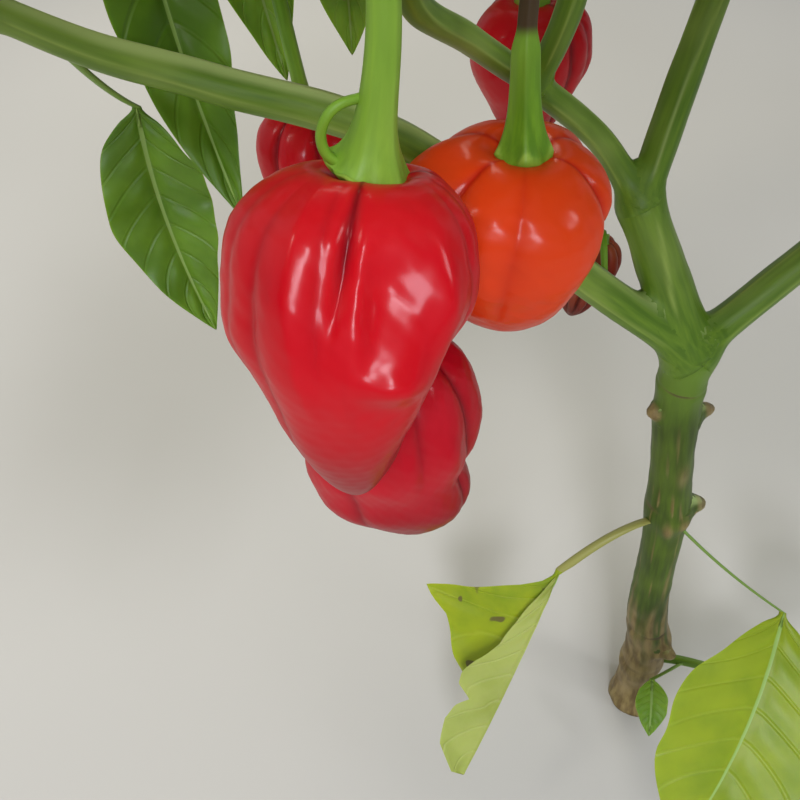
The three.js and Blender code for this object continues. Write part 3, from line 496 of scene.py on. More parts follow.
CROWN_GREENS = ["#42701a", "#4d7d1e", "#5c8d22", "#709f2a", "#86ad34"]
crown_blades = [blade(f"leaf_green_{i + 1}", tone) for i, tone in enumerate(CROWN_GREENS)]
leaf_under = blade("leaf_underside", "#86a85c", gloss=0.6)
midrib_skin = new_finish("leaf_midrib", "#8fb052", Roughness=0.5)[0]
petiole_skin = new_finish("leaf_petiole", "#7da043", Roughness=0.45)[0]
hanging_blade = blade("shaded_leaf_green", "#587e1a", "#6f9130", "#6f9626", 0.4)
backlit_blade = blade("backlit_leaf_green", "#86aa2e", "#a6c24e", "#6b9226", 0.42, 0.4)
yellow_blade = blade("yellowing_leaf", "#96a314", "#adb83c", "#7f9312", 0.45, 0.3, "#66602a")
yellow_under = blade("yellowing_leaf_underside", "#a6af58", "#bac276", "#949f45", 0.6, 0.3)
bright_blade = blade("sunlit_leaf", "#8fa01a", "#a3b440", "#7c9216", 0.45, 0.3)
yellow_petiole = new_finish("yellowing_leaf_petiole", "#98964c", Roughness=0.5)[0]
print(len(bpy.data.materials), "finishes so far")

# %% [markdown]
# ## Stem and boughs
# Each limb is a tapering tube round a smooth line. Two tubes that simply cross leave a hard seam, while a
# real fork swells and flows. So every corner is moved along its spoke until a blended distance is zero:
# the soft minimum of the distances to all limbs near it. The limbs' surfaces then meet in one fillet.

# %% The limbs' lines, in millimetres
FORK_LOW = (-29.9, 42.3, 211.7)
FORK_MIDDLE = (-54.9, 55.5, 255.5)
FORK_RIGHT = (44, 62, 296)
FORK_LEFT = (-208, 49, 307)
FORK_CENTRE = (-44, 76, 312)
FORK_INNER = (-84, 47, 340)
NODE_INNER = (-89.8, 52.6, 289.5)
NODE_FRONT = (-124, -4.5, 341)
FORK_FRONT_RIGHT = (88, -18, 352)

STEM_LINE = [
    (0, 0, 0), (-3.6, 8.4, 42), (-11.2, 16.8, 83.9), (-17.6, 27.1, 135.5), (-28, 37.8, 190), FORK_LOW,
]
STEM_FOOT_RADIUS = 9
STEM_TOP_RADIUS = 7
ROOT_FLARE = 2.6
ROOT_FLARE_HEIGHT = 9
# Nodes: share of the height, swelling.
STEM_NODES = [(0.16, 1), (0.3, 0.6), (0.62, 0.5), (0.86, 0.7)]
NODE_HALF = 0.035  # half a node's height, as a share of the stem's
# Knobs and hollows: height, way round (0 is the photo's right), half width round and up, how far proud.
STEM_KNOBS = [
    (52, 0.0, 0.8, 9, 2.4), (36, 0.3, 0.7, 6, 1.2), (26, 3.6, 0.8, 12, 1.6), (8, 3.6, 0.9, 8, 1.2),
    (140, 5.2, 0.45, 4, 1.5), (21, 5.4, 1.1, 6, -1.6), (72, 3.0, 0.8, 12, 0.6), (165, 5.0, 0.5, 9, 0.7),
    (105, 3.4, 0.7, 14, -0.8), (104, 0, 0.8, 16, -0.7), (138, 4.5, 0.3, 6, 1.6),
]

# Each bough: its line from its fork to its tip, and the radii at both ends.
BOUGHS = {
    "middle": ([FORK_LOW, (-42.8, 49, 234.3), FORK_MIDDLE], 6.9, 6.1),
    "left": (
        [
            FORK_LOW, (-67, 43.9, 237.9), (-118.9, 49.2, 276.3), (-162.9, 47, 292.2), (-188, 48.6, 298.5),
            FORK_LEFT,
        ],
        5.6, 3.4,
    ),
    "right": ([FORK_LOW, (4, 54, 248), FORK_RIGHT], 5.4, 4.4),
    "inner": ([FORK_MIDDLE, (-69, 59.8, 272.1), NODE_INNER], 3.7, 3.1),
    "centre": ([FORK_MIDDLE, (-49.5, 66.5, 286), FORK_CENTRE], 4.3, 3.7),
    "front": ([NODE_INNER, (-107.1, 39.3, 304.5), (-119.6, 21.2, 318), NODE_FRONT], 2.7, 2.5),
    "inner_top": ([NODE_INNER, (-85.6, 48.9, 308.6), FORK_INNER], 2.9, 2.7),
    "left_front": ([FORK_LEFT, (-232, 18, 326), (-246, -22, 352)], 2.9, 2.3),
    "left_top": ([FORK_LEFT, (-216, 52, 345), (-204, 42, 388)], 2.8, 2.2),
    "left_back": ([FORK_LEFT, (-212, 84, 326), (-205, 124, 356)], 2.9, 2.3),
    "front_left": ([NODE_FRONT, (-146, -26, 372), (-166, -52, 408)], 2.4, 2.1),
    "front_top": ([NODE_FRONT, (-104, -28, 374), (-78, -58, 408)], 2.4, 2.1),
    "top_left": ([FORK_INNER, (-93, 41, 384), (-112, 34, 424)], 2.6, 2.2),
    "back_left": ([FORK_INNER, (-120, 78, 352), (-158, 112, 378)], 2.6, 2.2),
    "top": ([FORK_CENTRE, (-30, 62, 364), (-22, 40, 424)], 3.4, 2.4),
    "back": ([FORK_CENTRE, (-61, 117, 325), (-82, 172, 352)], 3.2, 2.4),
    "back_top": ([FORK_CENTRE, (-30, 104, 362), (-14, 138, 420)], 3.1, 2.2),
    "right_front": ([FORK_RIGHT, (70, 24, 326), FORK_FRONT_RIGHT], 3.5, 2.9),
    "right_side": ([FORK_RIGHT, (96, 84, 324), (146, 92, 356)], 3.4, 2.4),
    "right_back": ([FORK_RIGHT, (52, 122, 330), (50, 180, 362)], 3.4, 2.4),
    "top_right": ([FORK_RIGHT, (52, 60, 358), (64, 48, 420)], 3.3, 2.3),
    "low_front": ([FORK_FRONT_RIGHT, (82, -52, 372), (62, -84, 396)], 2.6, 2.1),
    "low_side": ([FORK_FRONT_RIGHT, (118, -36, 370), (152, -46, 394)], 2.6, 2.1),
    "right_top": ([FORK_FRONT_RIGHT, (104, 0, 384), (122, 12, 424)], 2.5, 2.1),
}

# Stubs where old leaves and shoots have dropped: share of the stem's height, way round, length, radius.
STUBS = [(0.78, 3.3, 2.2, 2.3), (0.77, 0.2, 3.5, 2.4), (0.615, 0.0, 3, 3), (0.24, 5.4, 3, 2.8)]
STUB_RISE = 0.35
STUB_FLARE = 1.6


def stem_radius(t):
    """A straight taper from foot to top, with a bell-shaped swelling at each node and a flared foot."""
    t = np.atleast_1d(t)
    nodes = sum(swell * np.exp(-(((t - share) / NODE_HALF) ** 2)) for share, swell in STEM_NODES)
    flare = ROOT_FLARE * np.exp(-along(STEM_LINE, t)[:, 2] / ROOT_FLARE_HEIGHT)
    return STEM_FOOT_RADIUS + (STEM_TOP_RADIUS - STEM_FOOT_RADIUS) * t + nodes + flare


def taper(start, end):
    """The radius of an evenly tapering limb, as a function of the share of the way along."""
    return lambda t: start + (end - start) * np.atleast_1d(t)


limbs = {"stem": (STEM_LINE, stem_radius)}
stub_ends = []
for name, (line, start, end) in BOUGHS.items():
    limbs["bough_" + name] = (line, taper(start, end))
for i, (share, turn, length, radius) in enumerate(STUBS):
    middle = along(STEM_LINE, share)[0]
    out = unit([math.cos(turn), math.sin(turn), STUB_RISE])
    end = middle + out * (stem_radius(share)[0] + length)
    limbs[f"stub_{i + 1}"] = ([middle, end], taper(radius * STUB_FLARE, radius))
    stub_ends.append(end)

SAMPLE_STEP = 1.5
# Each limb as a row of round places: their middles and radii.
limb_samples = {}
for name, (line, radius_at) in limbs.items():
    share = np.linspace(0, 1, int(line_length(line) / SAMPLE_STEP) + 2)
    limb_samples[name] = (along(line, share), radius_at(share))
print(len(limbs), "limbs,", round(sum(line_length(line) for line, _ in limbs.values())), "mm in all")


# %% The blended surface of the limbs
BLEND_SHARE = 0.3  # the fillet's softness over the limbs' radius
BLEND_REACH = 4  # how far off, in millimetres, a neighbour's radius still counts in that
BLEND_ROUNDS = 7
LEAST_SHARE, WIDEST_SHARE = 0.8, 1.9  # how far a corner may be from its line, over the radius
NEIGHBOUR_GAP = 6
CORK_HEIGHT = 95  # where the corky foot ends
STREAKS_FADE = (150, 215)  # the heights between which its corky streaks fade out
PARTLY_CORKY = 0.75
RING_ABOVE, RING_HALF, RING_DEPTH = 0.012, 0.006, 0.35  # the scar round a node
DOME_HEIGHT = 0.55  # of a limb's end, over its radius
DOME_LIFTS = (0.5, 1.05)


def neighbours_of(name):
    """The limbs that come within a few millimetres of this one."""
    at, radius = limb_samples[name]
    close = []
    for other, (spots, spread) in limb_samples.items():
        gap = np.linalg.norm(at[:, None] - spots, axis=2) - radius[:, None] - spread
        if other != name and gap.min() < NEIGHBOUR_GAP:
            close.append(other)
    return close


def blended_reach(name, path, spokes, own):
    """How far each corner of a limb lies along its spoke, and its gap to the nearest other limb. The reach
    solves -k log(sum of exp(-distance / k)) = 0 over the limb and its neighbours, k being BLEND_SHARE times
    the radii near by."""
    own = np.tile(own[:, None], (1, spokes.shape[1]))
    reach, nearest = own, np.full_like(own, np.inf)
    others = [limb_samples[other] for other in neighbours_of(name)]
    for _ in range(BLEND_ROUNDS if others else 0):
        spots = path[:, None] + spokes * reach[..., None]
        gaps, radii = [reach - own], [own]
        for at, spread in others:
            away = np.linalg.norm(spots[:, :, None] - at, axis=3) - spread
            gaps.append(away.min(2))
            radii.append(spread[away.argmin(2)])
        gaps, radii = np.array(gaps), np.array(radii)
        nearest, lowest = gaps[1:].min(0), gaps.min(0)
        weights = np.exp(-np.clip(gaps - lowest, 0, 60) / BLEND_REACH)
        k = BLEND_SHARE * (weights * radii).sum(0) / weights.sum(0)
        blend = lowest - k * np.log(np.exp(-(gaps - lowest) / k).sum(0))
        reach = np.clip(reach - blend, LEAST_SHARE * own, WIDEST_SHARE * own)
    return reach, nearest


def weathered(angle, share, spots, reach):
    """The stem's reach with its unevenness, knobs and the rings round its nodes, and where it is corky and
    scarred."""
    height, straight = spots[..., 2], straightened(spots)
    cork = smooth(1.25 - height / CORK_HEIGHT + 0.3 * ripple(straight * [1, 1, 0.15], 5, 5), 0.1, 0.9)
    streaks = ripple(straight * [1, 1, 0.07], 2.6, 11, 9) + 0.5 * ripple(straight * [1, 1, 0.2], 9, 12)
    streaks = smooth(streaks, 0.3, 1.1) * (1 - smooth(height, *STREAKS_FADE))
    cork = np.maximum(cork, PARTLY_CORKY * streaks)
    rough = ripple(spots * [1, 1, 0.5], 5, 6) * 0.16 + ripple(spots, 10, 7) * 0.3
    reach = reach + rough * (0.25 + cork * 0.9)
    for middle, way, wide, tall, proud in STEM_KNOBS:
        off = (turned(angle, way) / wide) ** 2 + ((height - middle) / tall) ** 2
        reach = reach + proud * np.exp(-off)
        cork = np.maximum(cork, PARTLY_CORKY * np.clip(proud, 0, 1) * np.exp(-off * 1.5))
    scar = np.zeros_like(reach)
    for place, swell in STEM_NODES:
        ring = np.exp(-(((share - place - RING_ABOVE) / RING_HALF) ** 2))[:, None]
        scar = np.maximum(scar, ring * (0.55 + 0.45 * ripple(spots, 14, 8)))
        reach = reach - RING_DEPTH * swell * ring
    return reach, np.maximum(cork, scar * 0.6), scar


def limb_skin(name, sides, ring_step):
    """A limb's tube, blended with its neighbours. Ridges along the limb and a fine unevenness are added after
    that, away from the forks. The stem's rings all start on its right, so that its knobs can be placed."""
    line, radius_at = limbs[name]
    rows = max(6, int(line_length(line) / ring_step))
    share = np.linspace(0, 1, rows)
    path, own = along(line, share), radius_at(share)
    side, over, ahead = carried_frames(path)
    if name == "stem":
        side, over = np.tile([1.0, 0, 0], (rows, 1)), np.tile([0, 1.0, 0], (rows, 1))
    spokes = ring_spokes(side, over, sides)
    reach, nearest = blended_reach(name, path, spokes, own)
    calm = smooth(nearest, 0.3, 5)
    spots = path[:, None] + spokes * reach[..., None]
    angle = ring_angles(sides)
    ridge = np.clip(np.cos(angle * 4 + 0.9 * np.sin(share * 5)[:, None]), 0, 1) ** 4 * calm
    cork, scar = np.zeros_like(reach), np.zeros_like(reach)
    if name == "stem":
        reach, cork, scar = weathered(angle, share, spots, reach)
        ridge = ridge * 0.25
    for end in stub_ends:
        away = np.linalg.norm(spots - end, axis=2)
        cork = np.maximum(cork, 1 - smooth(away, 1.5, 5))
        scar = np.maximum(scar, 0.5 * (1 - smooth(away, 0.5, 3)))
    stripes = ridge * 0.4 * (own[:, None] / 5)
    reach = reach + stripes + ripple(spots, 16, 9) * 0.02 * own[:, None] * calm
    rings = path[:, None] + spokes * reach[..., None]
    # The far end is a dome: two more rings that shrink by the cosine as they rise by the sine.
    height, rim = ahead[-1] * own[-1] * DOME_HEIGHT, rings[rows - 1] - path[-1]
    domes = [path[-1] + rim * math.cos(lift) + height * math.sin(lift) for lift in DOME_LIFTS]
    tube = closed_tube(np.concatenate([rings, domes]), path[0], path[-1] + height)
    # Painted light: 1 where the skin faces up, for the paler upper side.
    painted_sunlight = smooth(spokes[..., 2], 0.55, 1.0)
    for key, value in zip(STEM_MARKS, (ridge, cork, scar, painted_sunlight)):
        last = np.repeat(value[-1:], len(DOME_LIFTS), axis=0)
        tube["mark_" + key] = np.concatenate([value.ravel(), last.ravel(), [value[0, 0], value[-1, 0]]])
    return grained(tube, sides)


stem_parts = [limb_skin("stem", sides=72, ring_step=1.3)]
stem_parts += [limb_skin(name, sides=24, ring_step=0.8) for name in limbs if name.startswith("stub")]
make_piece("stem_bark", together(stem_parts), [foot_bark], ["stem"])

bough_names = [name for name in limbs if name.startswith("bough")]
bough_parts = [limb_skin(name, sides=32, ring_step=1.7) for name in bough_names]
make_piece("bough_bark", together(bough_parts), [green_bark], bough_names)

# %% [markdown]
# ## Fruit
# Each chilli is a lantern with broad lobes. Its skin is one surface: a distance from the axis that depends
# on the way round and on the share of the way down. A profile gives the broad shoulders and the blunt
# tip, and a list of folds pinches the skin in along narrow lines that fade at both ends.
# A sculpted mesh would also do, but then no fold could be named, moved or deepened by a number.

# %% The fruit that hangs under the boughs
# stalk runs from the bough to the calyx, and axis from there to the tip. A fold is: angle from the photo's
# left towards the viewer, half width, depth over the radius, and then, unless it runs straight down the
# whole fruit, where it starts and ends, and its slant. A dent is: angle, share of the way down, half width
# and half height, depth. A bulge is a dent with a negative depth. taper and waist shape the profile, drop
# sets the shoulders lower, calyx is its rim over the radius, joint is where a dried stalk joins a live one,
# and slant lifts the calyx on its left.
WHOLE_FOLD = (-0.1, 0.9, 0)
PLAIN_FRUIT = {
    "taper": 1.8, "waist": 0, "drop": 0, "calyx": 0.29, "joint": 0, "slant": 0, "dents": [], "skin": red_skin,
}
FRUITS = {
    "fruit_front": {
        "stalk": [(-124, -4.5, 341), (-123.6, -4.6, 322), (-126.2, -4.4, 301)],
        "axis": (-0.07, -0.33, -0.94), "length": 68, "radius": 25, "taper": 1.5, "drop": 1.6, "slant": 2.2,
        "folds": [
            (85, 5, 0.13, -0.1, 0.34, -16), (70, 6, 0.05, 0.0, 0.5, 8), (57, 8, -0.05, 0.0, 0.55, 22),
            (42, 10, 0.06, 0.05, 0.8, 0), (142, 8, 0.05, 0.0, 0.62, 0), (162, 8, 0.05, -0.1, 0.8, 0),
            (22, 12, 0.05, -0.1, 0.7, 0), (195, 12, 0.1), (245, 14, 0.12, -0.1, 0.9, 6),
            (310, 14, 0.12, -0.1, 0.9, -6),
        ],
        "dents": [
            (100, 0.215, 17.5, 0.097, 0.172), (102, 0.432, 14, 0.05, -0.12), (94, 0.38, 11, 0.11, 0.043),
            (88, 0.25, 4, 0.16, -0.03), (124, 0.24, 6, 0.14, -0.045), (146, 0.76, 28, 0.2, 0.28),
            (136, 0.45, 14, 0.12, 0.1), (160, 0.5, 34, 0.16, 0.16), (176, 0.74, 42, 0.19, 0.24),
            (178, 0.3, 34, 0.3, 0.17), (5, 0.42, 30, 0.12, -0.06), (8, 0.13, 30, 0.1, -0.07),
            (10, 0.7, 32, 0.16, 0.06), (12, 0.86, 30, 0.1, 0.08),
        ],
    },
    "fruit_orange": {
        "stalk": [(-85, 47, 330), (-95, 34, 333), (-98.4, 26.8, 316), (-95.6, 25.4, 288)],
        "axis": (0.02, 0.03, -1), "length": 49, "radius": 23.6, "taper": 2, "drop": 0.5, "calyx": 0.25,
        "joint": 0.75, "skin": orange_skin,
        "folds": [
            (86, 13, 0.06, -0.1, 0.75, -12), (38, 8, 0.17, -0.1, 0.7, -6), (146, 7, 0.12, -0.1, 0.6, 8),
            (205, 12, 0.14, -0.1, 0.8, 0), (265, 12, 0.14, -0.1, 0.8, 0), (325, 12, 0.14, -0.1, 0.8, 0),
        ],
        "dents": [
            (168, 0.42, 24, 0.13, 0.13), (116, 0.3, 12, 0.2, -0.035), (60, 0.35, 12, 0.25, -0.03),
            (140, 0.6, 26, 0.2, 0.07), (180, 0.45, 38, 0.6, 0.11), (352, 0.22, 40, 0.3, -0.18),
        ],
    },
    "fruit_lower": {
        "stalk": [(-119, 49, 276), (-126, 40, 262), (-127, 23, 256), (-125.5, 9, 248)],
        "axis": (0.16, -0.28, -0.95), "length": 62, "radius": 22, "taper": 2, "waist": 0.08,
        "skin": dark_red_skin,
        "folds": [
            (150, 9, 0.1, 0.0, 0.9, 8), (112, 8, 0.07, 0.1, 0.55, -10), (62, 10, 0.08, 0, 0.9, -16),
            (330, 14, 0.12, 0, 0.9, 0), (215, 14, 0.12, 0, 0.9, 0), (280, 14, 0.12, 0, 0.9, 0),
        ],
        "dents": [
            (178, 0.62, 26, 0.07, 0.14), (100, 0.45, 10, 0.1, -0.05), (130, 0.42, 8, 0.08, -0.05),
            (8, 0.7, 48, 0.24, -0.5), (160, 0.84, 40, 0.12, -0.2), (165, 0.08, 30, 0.1, 0.14),
        ],
    },
    "fruit_back": {
        "stalk": [(-63, 121, 326), (-74, 125, 308), (-79, 126.5, 282)],
        "axis": (0.1, 0.05, -1), "length": 49, "radius": 20.5, "taper": 1.4, "waist": 0.05,
        "folds": [
            (70, 9, 0.12, -0.1, 0.9, 6), (125, 8, 0.12), (152, 7, 0.08), (190, 12, 0.12), (255, 12, 0.12),
            (330, 12, 0.12),
        ],
    },
    "fruit_behind_left": {
        "stalk": [(-150, 105, 372), (-158, 97, 345), (-155, 96, 300), (-150, 95, 262)],
        "axis": (0.05, 0, -1), "length": 44, "radius": 18, "waist": 0.05,
        "folds": [(50, 9, 0.16), (105, 8, 0.14), (160, 10, 0.14), (230, 12, 0.14), (310, 12, 0.14)],
    },
    "fruit_high": {
        "stalk": [(-108, 67, 347), (-122, 76, 356), (-133.5, 86.5, 346)],
        "axis": (-0.05, 0, -1), "length": 50, "radius": 18,
        "folds": [(80, 9, 0.14), (150, 9, 0.14), (220, 10, 0.14), (290, 12, 0.14), (10, 12, 0.14)],
    },
    "fruit_withered": {
        "stalk": [(-62, 43.8, 235), (-62.5, 56, 245), (-59.5, 65, 236)],
        "axis": (-0.1, 0.02, -1), "length": 31, "radius": 9.5, "waist": 0.1, "skin": withered_skin,
        "folds": [(20 + 45 * i, 9, 0.28, -0.1, 0.95, 20 - 9 * i) for i in range(8)],
        "dents": [(100, 0.4, 20, 0.15, 0.15)],
    },
}
FRUITS = {name: {**PLAIN_FRUIT, **given} for name, given in FRUITS.items()}
WIDEST_PLACE = 0.36
WAIST_PLACE = 0.62
SHOULDER_RISE = 0.07  # of the shoulders above the calyx, over the length
CALYX_PIT = 0.03
PIT_SHARE = 0.3  # of the pit round the calyx, over the radius
FOLD_SOFTNESS = 0.02
# Unevenness of the skin: the size of its waves in millimetres, and their height, which is a share of the
# radius for the broad ones and in millimetres for the fine ones.
BROAD_SIZE, BROAD_HEIGHT = 13, 0.016
FINE_SIZE, FINE_HEIGHT = 3.4, 0.07


def fruit_profile(t, bell, waist):
    """The radius over its widest, at share t from calyx to tip: the root of 1 - (1 - t / widest)^2.6 above
    the widest place, (1 - past^bell)^0.74 below it, drawn in at the waist."""
    past = np.clip((t - WIDEST_PLACE) / (1 - WIDEST_PLACE), 0, 1)
    before = np.clip(1 - t / WIDEST_PLACE, 0, 1)
    swell = np.sqrt(1 - before**2.6) * (1 - past**bell) ** 0.74
    return swell * (1 - waist * np.exp(-(((t - WAIST_PLACE) / 0.1) ** 2)))


def fruit_surface(fruit, rows, sides, seed):
    """Skin of a fruit: radius x profile x (1 - folds - dents), swung round the axis. A fold is
    depth x exp(-off / width), off being the angle from its line, and it fades in and out down the fruit."""
    axis = unit(fruit["axis"])
    side, over = crosswise(axis, np.array([0, 1.0, 0]))
    row = np.linspace(0, 1, rows + 2)[1:-1]
    share = (1 - np.cos(math.pi * row)) / 2
    t = share[:, None]
    angle = ring_angles(sides)[None]
    crease = np.zeros((rows, sides))
    left = np.ones((rows, sides))
    for middle, width, depth, *run in fruit["folds"]:
        start, end, slant = run or WHOLE_FOLD
        away = turned(angle, math.radians(middle) + math.radians(slant) * (t - start))
        window = smooth(t, start - 0.08, start + 0.08) * (1 - smooth(t, end - 0.2, end + 0.1))
        off = np.sqrt(away**2 + FOLD_SOFTNESS**2) - FOLD_SOFTNESS
        pinch = np.exp(-off / math.radians(width)) * window
        left -= depth * pinch
        crease = np.maximum(crease, pinch**2 * min(1, depth * 8))
    for middle, place, width, height, depth in fruit["dents"]:
        away = turned(angle, math.radians(middle)) / math.radians(width)
        left -= depth * np.exp(-(away**2) - ((t - place) / height) ** 2)
    radial = fruit_profile(t, fruit["taper"], fruit["waist"])
    reach = fruit["radius"] * radial * left
    pit = np.exp(-((radial / PIT_SHARE) ** 2)) * (t < 0.3)
    rise = fruit["length"] * ((1 + SHOULDER_RISE) * t - SHOULDER_RISE + (SHOULDER_RISE + CALYX_PIT) * pit)
    drop = fruit["drop"]
    rise = rise * (1 - 1.7 * drop / fruit["length"]) + drop
    top = np.array(fruit["stalk"][-1], float)
    spokes = ring_spokes(side[None], over[None], sides)
    rings = top + axis * rise[..., None] + spokes * reach[..., None]
    broad = ripple(rings, BROAD_SIZE, seed) * BROAD_HEIGHT * fruit["radius"] * radial
    rings = rings + spokes * broad[..., None]
    fine = ripple(rings, FINE_SIZE, seed + 1) * FINE_HEIGHT * np.minimum(1, radial * 2)
    rings = rings + spokes * fine[..., None]
    tip = top + axis * (fruit["length"] - 0.7 * drop)
    skin = closed_tube(rings, top + axis * (fruit["length"] * CALYX_PIT + drop), tip)
    # Painted shade: how deep each corner lies in a crease, and how near it is to the tip.
    skin["mark_crease"] = np.append(crease.ravel(), [0, 0])
    skin["mark_shoulder"] = np.append(np.repeat(1 - smooth(share, 0.0, 0.3), sides), [1, 0])
    skin["mark_tip"] = np.append(np.repeat(smooth(share, 0.4, 0.95), sides), [0, 1])
    return skin


# The calyx turns under: shares of its rim's radius, and how far below the rim, in millimetres.
TURN_UNDER = [(0.993, 0.35), (0.96, 0.75), (0.85, 1.1), (0.5, 1.3)]
STALK_SHARE, STALK_LEAST = 0.11, 0.2
BELL_SHARE = 0.17  # how far up the calyx flares, over the fruit's radius
CALYX_RISE, CALYX_RISE_REACH = 0.017, 4  # over the fruit's length, and in millimetres up the stalk
DRIED_THINNER = 0.32


def stalk_thickness(fruit):
    return fruit["radius"] * STALK_SHARE + STALK_LEAST


def stalk_surface(fruit, sides=72, ring_step=0.7):
    """Stalk and calyx in one trumpet. The radius is the stalk's, from 0.67 to 1.05 of its thickness, plus
    (rim - stalk) x exp(-(left / bell)^1.15), left being the way still to go. Five soft teeth shape the rim,
    which then turns under and is closed inside. A dried stalk is thinner up to its joint."""
    axis = unit(fruit["axis"])
    rim, bell = fruit["radius"] * fruit["calyx"], fruit["radius"] * BELL_SHARE
    line = fruit["stalk"]
    rows = int(line_length(line) / ring_step) + 6
    share = np.linspace(0, 1, rows) ** 0.85
    path = along(line, share)
    left = (1 - share) * line_length(line)
    lower = fruit["drop"] - CALYX_RISE * fruit["length"]
    path = path + axis * (lower * np.exp(-left / CALYX_RISE_REACH))[:, None]
    own = stalk_thickness(fruit) * (0.67 + 0.38 * share)
    joint = fruit["joint"]
    if joint:
        own = own * (1 - DRIED_THINNER * (1 - smooth(share, joint - 0.03, joint + 0.03)))
    reach = own + (rim - own) * np.exp(-((left / bell) ** 1.15))
    path = np.concatenate([path, [path[-1] + axis * below for _, below in TURN_UNDER]])
    reach = np.concatenate([reach, [rim * part for part, _ in TURN_UNDER]])
    side, over, _ = carried_frames(path)
    angle, spokes = ring_angles(sides), ring_spokes(side, over, sides)
    spread = np.clip(reach / rim, 0, 1) ** 2
    teeth = 0.05 * np.cos(5 * angle + 1.1) + 0.025 * np.cos(11 * angle) + 0.02 * np.sin(3 * angle)
    ridge = np.clip(np.cos(angle * 5 + np.append(share, np.ones(len(TURN_UNDER)))[:, None]), 0, 1) ** 2
    reach = reach[:, None] * (1 + teeth * spread[:, None] + 0.035 * ridge)
    rings = path[:, None] + spokes * reach[..., None]
    sink = -(fruit["slant"] * (spokes @ [-1, 0, 0]) + 0.5 * np.cos(5 * angle + 1.1))
    sink = sink * spread[:, None] ** 1.5
    tube = unmarked(closed_tube(rings + axis * sink[..., None], path[0], path[-1]))
    edge = np.exp(-(((reach / rim - 1.0) / 0.08) ** 2))
    tube["mark_ridge"][:-2] = (0.5 * ridge + 0.8 * edge).ravel()
    if joint:
        dried = np.repeat(1 - smooth(share, joint - 0.05, joint + 0.02), sides)
        tube["mark_scar"][: len(dried)] = dried
        tube["mark_scar"][-2] = dried[0]
    return grained(tube, sides)


NEAR_FRUIT = ("fruit_front", "fruit_orange", "fruit_lower")
for number, (name, fruit) in enumerate(FRUITS.items()):
    rows, sides = (210, 300) if name in NEAR_FRUIT else (110, 150)
    skin = fruit_surface(fruit, rows, sides, seed=20 + number)
    make_piece(name + "_skin", skin, [fruit["skin"]], [name])
    make_piece(name + "_stalk", stalk_surface(fruit), [stalk_skin])

# A withered flower stalk curls out of the front stalk and down to its calyx.
BRACT_LINE = [
    (-127, -4.2, 313.2), (-130.3, -5.4, 312.7), (-132.5, -6, 310.9),
    (-133.6, -5.9, 307.7), (-132.6, -5.8, 304.5), (-129, -5.4, 302.4),
]
bract = unmarked(plain_tube(BRACT_LINE, radii=(0.75, 0.95), sides=16, step=0.5))
make_piece("fruit_front_bract", bract, [stalk_skin])

# %% [markdown]
# ## Leaves
# Each leaf is one closed surface, from the root of its petiole to the tip of its blade: a round section
# that flattens into a thin blade with a raised midrib below. The blade bows along a curve, folds up from
# its midrib, waves at its margin and quilts between its side veins.
# A flat card with a picture would be cheaper, but it has no thickness, and its edge looks cut.

# %% One leaf
LEAF_THICKNESS = 0.4
PETIOLE_RADIUS = 1.15
# What a leaf has unless it says otherwise: the petiole's radius, its sag over its length, how uneven the
# blade's outline is, and how far its margin waves, both over its half width.
PLAIN_LEAF = {"petiole": PETIOLE_RADIUS, "sag": 0.06, "ragged": 0.03, "wave": 0.07}
RIB_HALF = 0.62
GROOVE_DEPTH, GROOVE_HALF = -0.3, 1.4
KEEL_SHARE = 0.7  # how far the midrib stands out below, over the petiole's radius
BLADE_FINISH, UNDER_FINISH, RIB_FINISH, PETIOLE_FINISH = range(4)


def leaf_outline(s, belly):
    """Half width over its widest at share s: a sine whose top is moved to the share belly."""
    return np.sin(math.pi * np.clip(s, 0, 1) ** (math.log(0.5) / math.log(belly))) ** 0.9


def leaf_line(leaf, s):
    """A quadratic curve from base to tip, drawn towards the middle plus bow."""
    s = np.atleast_1d(s)[:, None]
    bowed = (leaf["base"] + leaf["tip"]) / 2 + leaf["bow"]
    return (leaf["base"] * (1 - s) + bowed * s) * (1 - s) + (bowed * (1 - s) + leaf["tip"] * s) * s


def leaf_across(leaf, s):
    """Side and up at shares s: side is direction x face, up is side x direction."""
    s = np.atleast_1d(s)
    ahead = leaf_line(leaf, np.minimum(1, s + 0.05)) - leaf_line(leaf, np.maximum(0, s - 0.05))
    side = unit(np.cross(unit(ahead), leaf["face"]))
    return side, unit(np.cross(side, unit(ahead)))


